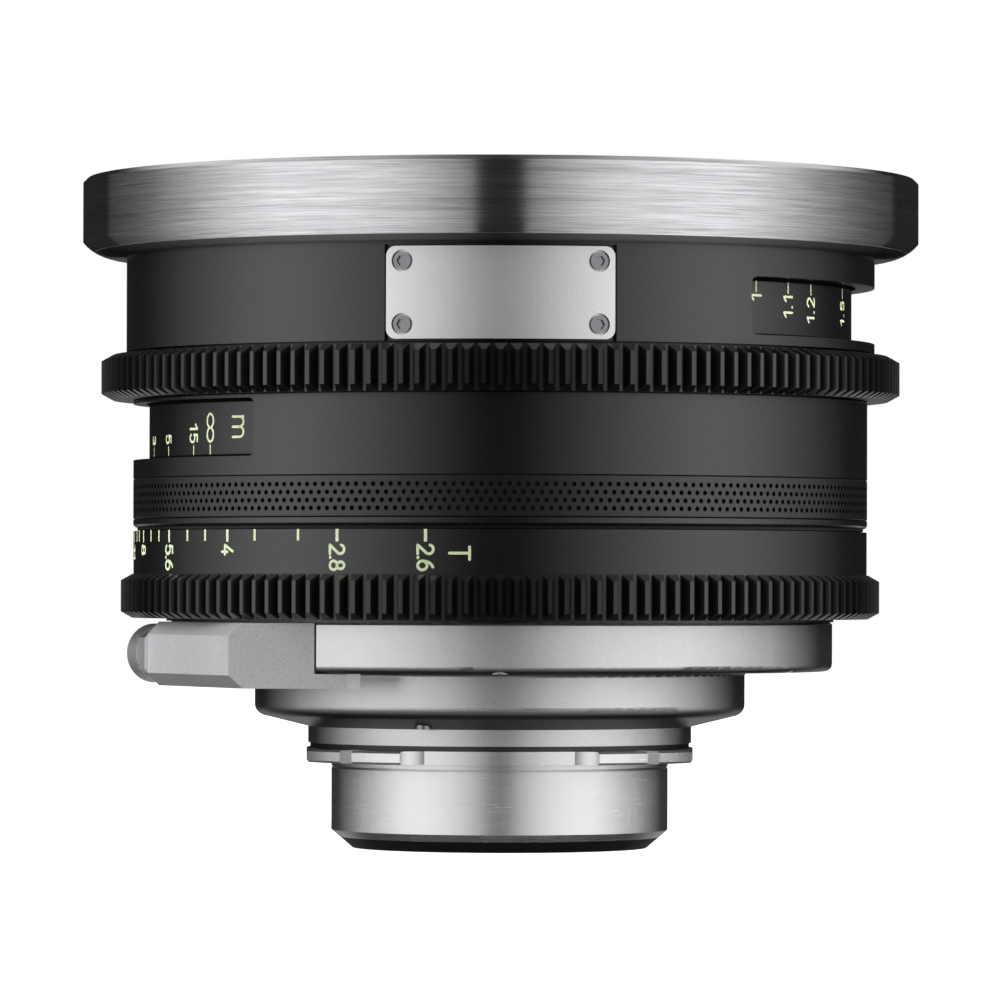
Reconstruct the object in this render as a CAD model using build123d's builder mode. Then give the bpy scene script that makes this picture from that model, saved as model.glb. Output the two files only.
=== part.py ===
from build123d import *
import os
from math import asin, cos, degrees, pi, radians, sin, sqrt, tan

# A cine prime lens. Lengths are in millimetres and angles in degrees.
# The origin is the centre of the mount's seat face, and +Z runs towards the subject.
# An azimuth is counted about +Z from the side that carries the nameplate, which faces -Y.

# Fits
slip = 0.1  # radial play between pieces that are fitted together
running = 0.3  # play between pieces that move past each other
overrun = 5.0  # how far a cutter passes the face that it cuts

# Tooth rings, 0.8 module as on every cine lens
gear_module = 0.8
pressure_angle = 20.0
focus_tooth_rise = 3.2  # pitch circle outside the upper cover
iris_tooth_rise = 1.2  # pitch circle outside the iris ring
tooth_foot_share = 1.25  # tooth depth below the pitch circle, in modules
tooth_bevel = 1.0  # axial length of the bevel at each end of a tooth

# Outer surfaces; the bore of the guide tube and the rear radius carry all other radii
rear_radius = 27.0
pilot_step = 3.75
shim_inset = 0.35
cone_run = 8.55
iris_step = 0.05  # iris ring inside the lower cover
cover_step = 1.15  # upper cover outside the lower one
front_overhang = 7.0

# Axial stack, from the seat face towards the front
flange_thickness = 2.1
shim_thicknesses = (0.3, 0.3, 0.2)
pilot_height = 2.6
cone_height = 2.1
step_height = 6.85
base_height = 7.85
iris_rear_gap = 0.45
iris_gear_width = 7.0
iris_scale_width = 6.85
iris_front_gap = 0.6
lip_height = 1.2
grip_height = 6.6
lower_cover_height = 12.35
ring_gap = 0.2
focus_gear_width = 7.15
upper_gap = 0.5
upper_cover_height = 15.15
front_ring_height = 12.59

# Front ring and the stepped hood inside it
ring_flare_height = 2.45
ring_flare_run = 5.5
ring_flare_bulge = 0.7
ring_edge = 0.7
ring_lip_width = 4.8
ring_lip_slope = 1.3
hood_wall = 1.5
hood_tube_wall = 1.2
hood_foot = 1.0
hood_steps = 4

# Covers, windows and nameplate
upper_wall = 3.0
lower_wall = 2.05
window_height = 9.0
window_corner = 1.2
window_start = 40.0
window_sweep = 100.0
upper_window_rise = 1.5
lower_window_rise = 2.9
plate_sweep = 33.7
plate_height = 14.1
plate_rise = 0.26
plate_thickness = 1.05
plate_corner = 1.5
plate_border = 0.25
plate_proud = 0.05
plate_screw_azimuth = 14.46
plate_screw_spacing = 9.64
plate_head_radius = 1.35
plate_head_height = 0.7
plate_thread_radius = 0.8
plate_thread_length = 1.9
plate_bore_radius = 1.65
socket_across_flats = 1.5
socket_depth = 0.5

# Core barrel and its running surfaces
iris_wall = 5.3
neck_wall = 3.5
iris_seat_wall = 5.0
grip_edge = 0.25
rim_height = 1.4
rim_width = 5.2
tube_bore = 37.0
tube_wall = 3.0
tube_foot = 0.8  # height of the tube's lower end above the lip
web_pocket = 4.3
lip_edge = 0.4

# Focus drive
focus_close = 163.0
focus_infinity = 37.0
focus_lead = 7.2  # travel of the focusing group in one turn of the ring
sleeve_wall = 2.7
sleeve_height = 7.6
helicoid_wall = 3.0
helicoid_flange = 6.2
helicoid_flange_height = 2.5
drum_clearance = 1.3  # between the helicoid's flange and the drum
drum_gap = 0.5
drum_wall = 2.5
drum_web = 2.5
drum_shoulder = 0.9
drum_shoulder_height = 1.2
drum_head_clearance = 0.5
thrust_thickness = 0.9
thrust_width = 7.0
thrust_play = 0.1
drum_screw_count = 6
pin_count = 3
pin_radius = 2.0
pin_azimuth = 30.0
pin_rise = 11.0
stop_radius = 1.0
stop_height = 3.0
stop_block_sweep = 8.0
stop_block_depth = 3.0

# Focusing cell and its glass
cell_rise = 1.5
cell_height = 17.5
cell_wall = 2.5
cell_hub_wall = 3.7
cell_hub_rise = 1.0
cell_hub_height = 11.5
cell_web = 3.0
cell_web_rise = 5.5
cell_shoulder_rise = 6.5
cell_shoulder = 1.0
cell_shoulder_width = 1.8
focus_glass_radius = 17.2
focus_seat_width = 2.0
focus_front_edge = 2.5
focus_front_bulge = 2.5
focus_back_bulge = 1.5
focus_rear_edge = 3.0
focus_rear_hollow = 1.9
focus_rear_bulge = 2.1
focus_retainer_height = 1.8
focus_retainer_width = 1.7

# Front barrel and its glass
nose_wall = 3.7
nose_length = 5.0
spigot_height = 1.0
barrel_gap = 1.0  # between the barrel and the scale drum
barrel_wall = 6.5
barrel_flange_height = 6.5
cover_seat = 2.85
front_glass_edge = 6.8
front_glass_top = 22.7
front_glass_thickness = 5.0
front_glass_rim = 15.2
front_retainer_width = 1.6
front_retainer_height = 3.2
second_glass_inset = 1.8  # inside the hollow of the front element
second_glass_edge = 2.9
second_glass_top = 13.8
second_glass_thickness = 3.2
second_glass_rim = 8.7
second_floor = 1.2
third_glass_inset = 1.3  # inside the hollow of the second element
third_glass_edge = 3.4
third_glass_hollow = 1.5
third_seat_width = 1.3

# Iris
blade_count = 9
blade_thickness = 0.12
blade_pitch = 0.3
blade_gap = 0.15
blade_width = 4.4
blade_arc = 110.0
iris_open_radius = 12.0
iris_edge_margin = 0.2
iris_closed_radius = 1.42
pivot_radius = 19.0
pivot_pin_radius = 0.6
pivot_pin_depth = 1.2
drive_arm = 9.0
drive_pin_radius = 0.5
arm_width = 2.4
ear_width = 3.0
cam_clearance = 0.15
cam_thickness = 1.2
cam_rim_width = 2.2
cam_rim_height = 3.7
cam_bore = 14.5
cam_play = 0.3
cam_overhang = 8.8  # cam ring outside the circle of the pivots
iris_bore = 13.0
iris_plate = 1.5
iris_rim = 2.4
iris_cover = 1.0
iris_open_angle = 78.9
iris_close_angle = 6.0
link_azimuth = 180.0
link_radius = 1.5
link_rise = 10.45
link_reach = 2.0
link_sink = 0.5
iris_plate_rise = 3.05
iris_screw_azimuths = (20.0, 240.0, 310.0)

# Mount base, mount flange and rear barrel
base_setback = 0.2  # base inside the neck of the core barrel
base_corner = 1.2
base_bevel = 0.4
base_fillet = 0.7
step_corner = 1.9
base_spigot_wall = 3.3
base_land = 3.0
base_floor = 3.05
cell_floor_height = 6.0
cell_clearance = 0.5
pilot_socket = 2.4
tab_count = 4
tab_start = 45.0
tab_root_step = 0.25
tab_depth = 3.2
tab_sweep = 35.8
tab_root_sweep = 46.4
tab_scoop = 0.5  # hollow of the slanted ends
tab_edge = 0.35
tab_notch = 2.7
rear_length = 11.05
rear_groove = 0.2
rear_groove_drop = 0.8
rear_bevel = 2.9
rear_bevel_run = 3.4
rear_metal_bevel = 1.15
rear_wall = 2.6
baffle_face = 4.1
baffle_seat = 0.8
mount_screw_radius = 1.0
mount_screw_head = 1.8
mount_screw_length = 7.2
mount_screw_setback = 2.0
mount_screw_count = 4
lock_screw_radius = 0.8
lock_screw_length = 4.0
lock_screw_azimuth = -21.6
lock_screw_step = 1.55
lock_screw_head = 1.3
lock_screw_head_height = 1.1
lock_screw_sink = 1.15  # height of the head's seat above the foot of the cone

# Rear cell and its glass
rear_cell_flange = 2.0
rear_cell_flange_run = 8.5
rear_cell_wall = 3.6
rear_cell_neck_wall = 2.7
rear_cell_neck_height = 11.0
rear_cell_length = 10.8
rear_shoulder_height = 3.6
rear_throat_width = 1.2
doublet_radius = 15.2
doublet_seat = 0.5
doublet_front_edge = 3.8
doublet_front_bulge = 2.0
doublet_join_bulge = 1.6
doublet_rear_edge = 2.9
cement = 0.05
doublet_retainer_height = 2.0
rear_front_edge = 3.4
rear_front_bulge = 1.4
rear_front_back_bulge = 1.0
rear_spacer_wall = 2.1
rear_spacer_height = 4.3
rear_seat_width = 3.8
rear_back_edge = 4.1
rear_back_hollow = 1.5
rear_back_bulge = 1.2
rear_retainer_height = 1.8
retainer_width = 1.8

# Data socket on the mount base
socket_azimuth = -65.0
socket_overhang = 3.6  # the arm's outer face outside the base
socket_width = 10.0
socket_block_height = 10.1
socket_top_gap = 0.1
socket_inset = 8.1  # the foot's front face behind the front of the base
socket_foot_azimuth = -32.23
socket_foot_depth = 4.2
socket_tongue_length = 7.0
socket_tongue_corner = 2.0
socket_arm_end = 10.0
socket_bevel = 2.0
socket_gap = 0.3
socket_axis_depth = 3.9  # the socket's axis behind the arm's outer face
socket_bore = 3.4
socket_bore_depth = 12.0
shell_wall = 0.7
shell_collar_radius = 4.7
shell_collar_height = 4.0
nut_across_flats = 8.7
nut_height = 2.7
insert_setback = 1.0
insert_length = 6.0
contact_radius = 0.35
contact_circle = 1.35
contact_count = 5
contact_proud = 0.6

# Body screws, one kind everywhere
screw_head_radius = 1.6
screw_head_height = 1.2
screw_radius = 0.8
screw_length = 5.2
screw_grip = 1.9
screw_socket = 1.5
screw_socket_depth = 0.7
barrel_screw_count = 6
cell_screw_count = 3
base_screw_count = 6
base_screw_inset = 2.2
cell_screw_step = 4.5
cell_screw_azimuth = 60.0

# Heights worked out from the stack
shim_stack = sum(shim_thicknesses)
z_shim = flange_thickness
z_pilot = z_shim + shim_stack
z_cone = z_pilot + pilot_height
z_step = z_cone + cone_height
z_base = z_step + step_height
z_neck = z_base + base_height
z_iris = z_neck + iris_rear_gap
z_iris_scale = z_iris + iris_gear_width
z_iris_top = z_iris_scale + iris_scale_width
z_lip = z_iris_top + iris_front_gap
z_grip = z_lip + lip_height
z_lower = z_grip + grip_height
z_lower_top = z_lower + lower_cover_height
z_focus = z_lower_top + ring_gap
z_focus_top = z_focus + focus_gear_width
z_upper = z_focus_top + upper_gap
z_upper_top = z_upper + upper_cover_height
z_front = z_upper_top + front_ring_height
z_flange = z_upper_top - cover_seat
z_barrel_top = z_flange + barrel_flange_height

# Running surfaces of the focus drive, from the tube's bore outwards
tube_radius = tube_bore + tube_wall
sleeve_bore = tube_radius + running
sleeve_radius = sleeve_bore + sleeve_wall
helicoid_bore = sleeve_radius + running
helicoid_radius = helicoid_bore + helicoid_wall
drum_bore = helicoid_radius + helicoid_flange + drum_clearance
drum_radius = drum_bore + drum_wall
lower_bore = drum_radius + drum_gap
lower_radius = lower_bore + lower_wall
rim_radius = lower_bore - slip

# Outer radii and tooth counts
cover_radius = lower_radius + cover_step
upper_bore = cover_radius - upper_wall
front_radius = cover_radius + front_overhang
iris_radius = lower_radius - iris_step
neck_radius = iris_radius - iris_wall
neck_bore = neck_radius - neck_wall
base_radius = neck_radius - base_setback
base_cavity = neck_bore - slip - base_spigot_wall - base_land
pilot_radius = rear_radius + pilot_step
shim_radius = pilot_radius - shim_inset
step_radius = pilot_radius + cone_run
focus_teeth = round(2 * (cover_radius + focus_tooth_rise) / gear_module)
iris_teeth = round(2 * (iris_radius + iris_tooth_rise) / gear_module)

# Heights in the focus drive
z_rim = z_lower + rim_height
z_thrust = z_rim - thrust_thickness
z_drum = z_rim + running
z_helicoid = z_rim + thrust_play
z_web = z_focus + drum_shoulder_height
z_web_top = z_web + drum_web
z_barrel = z_web_top + thrust_play + thrust_thickness
z_drum_top = z_flange - drum_head_clearance
z_tube = z_lip + tube_foot
infinity_travel = focus_lead * focus_infinity / 360
close_travel = focus_lead * focus_close / 360

# Seats of the glass
z_spigot = z_barrel - spigot_height
z_nose = z_spigot - nose_length
z_floor = z_spigot + second_floor
z_glass = z_floor + second_glass_edge + slip
z_glass_edge = z_glass + front_glass_edge
flange_radius = upper_bore - slip
barrel_radius = drum_bore - barrel_gap
barrel_bore = barrel_radius - barrel_wall
front_glass_radius = barrel_bore - slip
front_glass_hollow = front_glass_radius - front_glass_rim
second_glass_radius = front_glass_hollow - second_glass_inset
second_glass_hollow = second_glass_radius - second_glass_rim
third_glass_radius = second_glass_hollow - third_glass_inset
nose_radius = third_glass_radius + slip + nose_wall
focus_glass_seat = focus_glass_radius - focus_seat_width
z_cell = z_tube + cell_rise
z_hub = z_cell + cell_hub_rise
z_shoulder = z_cell + cell_shoulder_rise
z_pin = z_cell + pin_rise

# Iris heights and the blades' turn, which follows from the two openings
z_iris_plate = z_neck + iris_plate_rise + slip
z_blades = z_iris_plate + iris_plate + blade_gap
z_cam = z_blades + blade_pitch * blade_count + blade_gap
z_iris_cover = z_cam + cam_thickness + cam_rim_height + cam_play
z_link = z_iris + link_rise
blade_radius = iris_open_radius + iris_edge_margin
blade_turn = degrees(2 * asin((blade_radius - iris_closed_radius) / (2 * pivot_radius)))
iris_throw = iris_open_angle + iris_close_angle
blade_ratio = blade_turn / iris_throw
blade_rest = blade_ratio * iris_open_angle
cam_radius = pivot_radius + cam_overhang
link_inner = cam_radius - link_reach
rim_bore = cam_radius + running
rim_outer = rim_bore + iris_rim

# Radii and heights in the mount, the rear cell and the data socket
tab_root_radius = pilot_radius + tab_root_step
tab_radius = tab_root_radius + tab_depth
mount_screw_circle = rear_radius + mount_screw_setback
lock_screw_circle = pilot_radius + lock_screw_step
cell_screw_circle = rear_radius + cell_screw_step
rear_cell_flange_radius = rear_radius + rear_cell_flange_run
cell_cavity = rear_cell_flange_radius + cell_clearance
baffle_opening = rear_radius - rear_bevel_run - baffle_face
z_cell_floor = z_cone + cell_floor_height
z_base_floor = z_base + base_floor
z_cell_flange = z_cell_floor + rear_cell_flange
rear_bore = rear_radius - rear_wall
rear_cell_radius = rear_bore - slip
rear_glass_radius = rear_cell_radius - rear_cell_wall - slip
rear_glass_seat = rear_glass_radius - rear_seat_width
rear_cell_neck = doublet_radius + slip + rear_cell_neck_wall
rear_throat = doublet_radius - rear_throat_width
socket_low = z_neck - socket_top_gap - socket_block_height
socket_high = z_neck - socket_top_gap
z_socket = (socket_low + socket_high) / 2
socket_outer = base_radius + socket_overhang
socket_inner = socket_outer - socket_width
socket_axis = socket_outer - socket_axis_depth
socket_front = socket_inset - base_radius
socket_foot_end = -socket_front * tan(radians(socket_foot_azimuth))
socket_tongue_end = socket_foot_end + socket_tongue_length


def direction(azimuth):
    """Unit vector that points outwards at an azimuth."""
    return Vector(sin(radians(azimuth)), -cos(radians(azimuth)), 0)


def outward(azimuth, radius, height):
    """Plane at a radius and height that faces away from the lens axis."""
    spot = direction(azimuth) * radius + Vector(0, 0, height)
    return Plane(origin=spot, x_dir=direction(azimuth + 90), z_dir=direction(azimuth))


def upward(azimuth, radius, height):
    """Plane at a radius and height that faces the subject."""
    return Plane(origin=direction(azimuth) * radius + Vector(0, 0, height), z_dir=(0, 0, 1))


def downward(azimuth, radius, height):
    """Plane at a radius and height that faces the camera body."""
    return Plane(origin=direction(azimuth) * radius + Vector(0, 0, height), z_dir=(0, 0, -1))


def cross_section(azimuth=0.0):
    """Plane through the axis, with the radius along its x and the height along its y."""
    return Plane(origin=(0, 0, 0), x_dir=direction(azimuth), z_dir=direction(azimuth - 90))


def turned(*outline, start=0.0, sweep=360.0, mode=Mode.ADD):
    """Turn an outline of (radius, height) points about the lens axis."""
    with BuildSketch(cross_section(start)) as profile:
        with BuildLine():
            Polyline(*outline, close=True)
        make_face()
    revolve(profile.sketch, axis=Axis.Z, revolution_arc=sweep, mode=mode)


def ring(inner, outer, low, high, start=0.0, sweep=360.0, mode=Mode.ADD):
    """Turn a plain rectangle about the lens axis."""
    turned((inner, low), (outer, low), (outer, high), (inner, high),
           start=start, sweep=sweep, mode=mode)


def drill(places, radius, depth):
    """Sink round holes below planes."""
    with Locations(*places):
        Cylinder(radius, depth + slip, align=(Align.CENTER, Align.CENTER, Align.MAX), mode=Mode.SUBTRACT)


def bore_out(places, radius, depth):
    """Cut round holes from planes upwards."""
    with Locations(*places):
        Cylinder(radius, depth, align=(Align.CENTER, Align.CENTER, Align.MIN), mode=Mode.SUBTRACT)


def lens_rise(reach, bulge, radius):
    """Height of a lens surface above its edge at a radius."""
    curve = (reach * reach + bulge * bulge) / (2 * bulge)
    return bulge - curve + sqrt(curve * curve - radius * radius)


def lens_face(reach, edge, bulge):
    """Arc of a lens surface from the axis to its edge."""
    if bulge:
        TangentArc((0, edge + bulge), (reach, edge), tangent=(1, 0))
    else:
        Line((0, edge), (reach, edge))


def glass(radius, low, high, low_bulge=0.0, high_bulge=0.0, low_reach=None, high_reach=None):
    """Lens element between two edge heights; a bulge rises towards the subject."""
    low_reach = low_reach or radius
    high_reach = high_reach or radius
    corners = [(high_reach, high), (radius, high), (radius, low), (low_reach, low)]
    edge = [corner for place, corner in enumerate(corners) if corner not in corners[:place]]
    with BuildSketch(cross_section()) as profile:
        with BuildLine():
            Line((0, low + low_bulge), (0, high + high_bulge))
            lens_face(high_reach, high, high_bulge)
            Polyline(*edge)
            lens_face(low_reach, low, low_bulge)
        make_face()
    revolve(profile.sketch, axis=Axis.Z)


def retainer(reach, width, edge, height, bulge):
    """Threaded ring that holds an element by its edge; height is signed."""
    side = 1 if height > 0 else -1
    inner = reach - width
    rise = lens_rise(reach, bulge, inner) if bulge else 0
    turned((inner, edge + side * (rise + slip)), (reach, edge + side * slip),
           (reach, edge + height), (inner, edge + height))


def toothed(teeth, bottom, width):
    """Straight-flanked teeth, bevelled at both ends down to the tooth roots."""
    pitch_radius = gear_module * teeth / 2
    tip_radius = pitch_radius + gear_module
    root_radius = pitch_radius - gear_module * tooth_foot_share
    quarter = pi * gear_module / 4
    lean = tan(radians(pressure_angle)) * gear_module
    tip_half = degrees((quarter - lean) / tip_radius)
    root_half = degrees((quarter + lean * tooth_foot_share) / root_radius)
    outline = []
    for tooth in range(teeth):
        middle = 360 * tooth / teeth
        outline.append(direction(middle - root_half) * root_radius)
        outline.append(direction(middle - tip_half) * tip_radius)
        outline.append(direction(middle + tip_half) * tip_radius)
        outline.append(direction(middle + root_half) * root_radius)
    with BuildSketch(Plane.XY.offset(bottom)) as section:
        with BuildLine():
            Polyline(*outline, close=True)
        make_face()
    extrude(section.sketch, amount=width)
    top = bottom + width
    turned((0, bottom), (root_radius, bottom), (tip_radius, bottom + tooth_bevel),
           (tip_radius, top - tooth_bevel), (root_radius, top), (0, top), mode=Mode.INTERSECT)


def nearest(profile, radius, height):
    """Corner of a profile that is nearest to a (radius, height) point."""
    return profile.vertices().sort_by_distance((radius, height))[0]


def radial_edges(part, longest):
    """Level edges no longer than a given length, such as the corners of a window."""
    lines = part.edges().filter_by(GeomType.LINE)
    return lines.filter_by(lambda edge: abs((edge @ 1 - edge @ 0).Z) < slip and edge.length < longest)


def screws(places, head_radius, head_height, thread_radius, length, socket, depth):
    """Cap screws whose heads stand on planes."""
    with Locations(*places):
        Cylinder(head_radius, head_height, align=(Align.CENTER, Align.CENTER, Align.MIN))
        Cylinder(thread_radius, length, align=(Align.CENTER, Align.CENTER, Align.MAX))
    for place in places:
        with BuildSketch(place.offset(head_height)) as hexagon:
            RegularPolygon(socket / 2, 6, major_radius=False)
        extrude(hexagon.sketch, amount=-depth, mode=Mode.SUBTRACT)


def save(piece, name):
    """Label a finished piece and write its STEP file."""
    piece.part.label = name
    export_step(piece.part, f"parts/{name}.step")


os.makedirs("parts", exist_ok=True)

# Places of the body screws
barrel_places = [upward(360 * turn / barrel_screw_count, tube_bore + tube_wall / 2, z_barrel + screw_grip)
                 for turn in range(barrel_screw_count)]
iris_places = [upward(azimuth, (rim_bore + rim_outer) / 2, z_iris_cover + iris_cover)
               for azimuth in iris_screw_azimuths]
cell_places = [upward(cell_screw_azimuth + 360 * turn / cell_screw_count, cell_screw_circle, z_cell_flange)
               for turn in range(cell_screw_count)]
base_screw_circle = neck_radius - base_screw_inset
base_azimuths = [360 * turn / base_screw_count for turn in range(base_screw_count)]
socket_room = socket_inner - screw_head_radius
base_azimuths = [azimuth for azimuth in base_azimuths
                 if base_screw_circle * cos(radians(azimuth - socket_azimuth)) < socket_room]
base_places = [downward(azimuth, base_screw_circle, z_neck - screw_grip) for azimuth in base_azimuths]

# Front ring
ring_bore = front_radius - ring_lip_width - ring_lip_slope
with BuildPart() as front_ring:
    with BuildSketch(cross_section()):
        with BuildLine():
            flare_foot = (front_radius - ring_flare_run, z_upper_top)
            flare_top = (front_radius, z_upper_top + ring_flare_height)
            Line((upper_bore, z_upper_top), flare_foot)
            SagittaArc(flare_foot, flare_top, -ring_flare_bulge)
            Polyline(flare_top, (front_radius, z_front - ring_edge), (front_radius - ring_edge, z_front),
                     (front_radius - ring_lip_width, z_front), (ring_bore, z_front - ring_lip_slope),
                     (ring_bore, z_barrel_top - slip), (upper_bore, z_barrel_top - slip),
                     (upper_bore, z_upper_top))
        make_face()
    revolve(axis=Axis.Z)
save(front_ring, "front_ring")

# Stepped black hood between the front ring and the front element
z_retainer = z_glass_edge + front_retainer_height
hood_top = z_front - ring_lip_slope
hood_low = z_barrel_top + hood_foot
hood_outer = ring_bore - slip
hood_mouth = hood_outer - hood_wall
hood_throat = front_glass_radius - hood_tube_wall
hood_outline = [(hood_throat, z_retainer + slip), (front_glass_radius, z_retainer + slip),
                (front_glass_radius, z_barrel_top), (hood_outer, z_barrel_top),
                (hood_outer, hood_top), (hood_mouth, hood_top)]
for step in range(hood_steps):
    landing = hood_top + (hood_low - hood_top) * (step + 1) / hood_steps
    hood_outline.append((hood_mouth + (hood_throat - hood_mouth) * step / hood_steps, landing))
    hood_outline.append((hood_mouth + (hood_throat - hood_mouth) * (step + 1) / hood_steps, landing))
with BuildPart() as hood_baffle:
    turned(*hood_outline)
save(hood_baffle, "hood_baffle")

# Front group of glass
front_bulge = front_glass_top - front_glass_edge
with BuildPart() as front_element:
    glass(front_glass_radius, z_glass, z_glass_edge, front_glass_top - front_glass_thickness, front_bulge,
          low_reach=front_glass_hollow)
save(front_element, "front_element")

with BuildPart() as front_retainer:
    retainer(front_glass_radius, front_retainer_width, z_glass_edge, front_retainer_height, front_bulge)
save(front_retainer, "front_retainer")

with BuildPart() as second_element:
    glass(second_glass_radius, z_floor, z_floor + second_glass_edge,
          second_glass_top - second_glass_thickness, second_glass_top - second_glass_edge,
          low_reach=second_glass_hollow)
save(second_element, "second_element")

with BuildPart() as third_element:
    glass(third_glass_radius, z_spigot - third_glass_edge, z_spigot, 0, -third_glass_hollow,
          high_reach=third_glass_radius - third_seat_width - slip)
save(third_element, "third_element")

# Front barrel, which holds the front group and carries the front ring and the upper cover
third_throat = third_glass_radius - third_seat_width
with BuildPart() as front_barrel:
    turned((third_throat, z_spigot), (third_glass_radius + slip, z_spigot),
           (third_glass_radius + slip, z_nose), (nose_radius, z_nose), (nose_radius, z_spigot),
           (tube_bore - slip, z_spigot), (tube_bore - slip, z_barrel), (barrel_radius, z_barrel),
           (barrel_radius, z_flange), (flange_radius, z_flange), (flange_radius, z_barrel_top),
           (barrel_bore, z_barrel_top), (barrel_bore, z_glass), (second_glass_radius + slip, z_glass),
           (second_glass_radius + slip, z_floor), (third_throat, z_floor))
    bore_out(barrel_places, screw_head_radius + slip, screw_head_height + slip)
    drill(barrel_places, screw_radius + slip, screw_length)
save(front_barrel, "front_barrel")

# Upper cover with its window and the recess of the nameplate
plate_low = z_upper + plate_rise
plate_top = plate_low + plate_height
plate_floor = cover_radius - plate_thickness + plate_proud
plate_places = [outward(side * plate_screw_azimuth, cover_radius + plate_proud - plate_head_height,
                        (plate_low + plate_top) / 2 + level * plate_screw_spacing / 2)
                for side in (-1, 1) for level in (-1, 1)]
border_sweep = degrees(plate_border / cover_radius)
with BuildPart() as upper_cover:
    ring(upper_bore, cover_radius, z_upper, z_upper_top)
    ring(plate_floor, cover_radius + overrun, z_upper - overrun, plate_top + plate_border,
         start=-plate_sweep / 2 - border_sweep, sweep=plate_sweep + 2 * border_sweep, mode=Mode.SUBTRACT)
    ring(upper_bore - overrun, cover_radius + overrun, z_upper + upper_window_rise,
         z_upper + upper_window_rise + window_height,
         start=window_start, sweep=window_sweep, mode=Mode.SUBTRACT)
    fillet(radial_edges(upper_cover.part, upper_wall + slip).filter_by(
        lambda edge: edge.length > plate_thickness + slip), window_corner)
    drill(plate_places, plate_thread_radius + slip, plate_thread_length)
save(upper_cover, "upper_cover")

# Bare nameplate and its four screws
with BuildPart() as nameplate:
    ring(plate_floor, cover_radius + plate_proud, plate_low, plate_top,
         start=-plate_sweep / 2, sweep=plate_sweep)
    fillet(radial_edges(nameplate.part, plate_thickness + slip), plate_corner)
    bore_out(plate_places, plate_bore_radius, plate_head_height + slip)
    drill(plate_places, plate_thread_radius + slip, plate_thread_length)
save(nameplate, "nameplate")

with BuildPart() as nameplate_screws:
    screws(plate_places, plate_head_radius, plate_head_height, plate_thread_radius,
           plate_thread_length, socket_across_flats, socket_depth)
save(nameplate_screws, "nameplate_screws")

# Lower cover with its window
with BuildPart() as lower_cover:
    ring(lower_bore, lower_radius, z_lower, z_lower_top)
    ring(lower_bore - overrun, lower_radius + overrun, z_lower + lower_window_rise,
         z_lower + lower_window_rise + window_height,
         start=-window_start - window_sweep, sweep=window_sweep, mode=Mode.SUBTRACT)
    fillet(radial_edges(lower_cover.part, lower_wall + slip), window_corner)
save(lower_cover, "lower_cover")

# Grip band with a groove at each end
with BuildPart() as grip_band:
    turned((lower_bore, z_grip), (lower_radius - grip_edge, z_grip), (lower_radius, z_grip + grip_edge),
           (lower_radius, z_lower - grip_edge), (lower_radius - grip_edge, z_lower), (lower_bore, z_lower))
save(grip_band, "grip_band")

# Core barrel: neck under the iris ring, web, and tube with three straight guide slots
iris_bore_radius = neck_radius - iris_seat_wall
z_iris_seat = z_iris_plate + iris_plate
link_half_height = link_radius + running
link_start = link_azimuth - iris_open_angle
neck_margin = degrees((link_radius + running) / neck_bore)
pin_azimuths = [pin_azimuth + 360 * turn / pin_count for turn in range(pin_count)]
slot_centre = z_pin + (close_travel - infinity_travel) / 2
slot_length = close_travel + infinity_travel + 2 * (pin_radius + running)
with BuildPart() as core_barrel:
    turned((neck_bore, z_neck), (neck_radius, z_neck), (neck_radius, z_lip),
           (lower_radius - lip_edge, z_lip), (lower_radius, z_lip + lip_edge), (lower_radius, z_grip),
           (rim_radius, z_grip), (rim_radius, z_rim), (rim_radius - rim_width, z_rim),
           (rim_radius - rim_width, z_thrust), (tube_radius, z_thrust), (tube_radius, z_barrel),
           (tube_bore, z_barrel), (tube_bore, z_tube), (tube_radius, z_tube),
           (tube_radius, z_lip + web_pocket), (iris_bore_radius, z_lip + web_pocket),
           (iris_bore_radius, z_iris_seat), (neck_bore, z_iris_seat))
    ring(iris_bore_radius - slip, neck_radius + overrun, z_link - link_half_height,
         z_link + link_half_height, start=link_start - neck_margin,
         sweep=iris_throw + 2 * neck_margin, mode=Mode.SUBTRACT)
    for azimuth in pin_azimuths:
        with BuildSketch(outward(azimuth, tube_bore - tube_wall, slot_centre)) as slot:
            SlotOverall(slot_length, 2 * (pin_radius + running), rotation=90)
        extrude(slot.sketch, amount=3 * tube_wall, mode=Mode.SUBTRACT)
    drill(barrel_places, screw_radius + slip, screw_length)
    drill(base_places, screw_radius + slip, screw_length)
save(core_barrel, "core_barrel")

with BuildPart() as thrust_rings:
    ring(helicoid_bore, helicoid_bore + thrust_width, z_thrust, z_rim)
    ring(helicoid_bore, helicoid_bore + thrust_width, z_barrel - thrust_thickness, z_barrel)
save(thrust_rings, "thrust_rings")

# Focus ring: tooth ring, scale drum and helicoid, screwed together
with BuildPart() as focus_gear_ring:
    toothed(focus_teeth, z_focus, focus_gear_width)
    ring(0, drum_radius + slip, z_focus - overrun, z_focus_top + overrun, mode=Mode.SUBTRACT)
    ring(0, drum_radius + drum_shoulder + slip, z_focus - overrun, z_web, mode=Mode.SUBTRACT)
save(focus_gear_ring, "focus_gear_ring")

drum_screw_circle = helicoid_radius + helicoid_flange / 2
drum_places = [downward(360 * turn / drum_screw_count, drum_screw_circle, z_web - helicoid_flange_height)
               for turn in range(drum_screw_count)]
with BuildPart() as scale_drum:
    turned((drum_bore, z_drum), (drum_radius, z_drum), (drum_radius, z_focus),
           (drum_radius + drum_shoulder, z_focus), (drum_radius + drum_shoulder, z_web),
           (drum_radius, z_web), (drum_radius, z_drum_top), (drum_bore, z_drum_top),
           (drum_bore, z_web_top), (helicoid_bore, z_web_top), (helicoid_bore, z_web), (drum_bore, z_web))
    drill(drum_places, screw_radius + slip, helicoid_flange_height + drum_web - slip)
save(scale_drum, "scale_drum")

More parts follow.
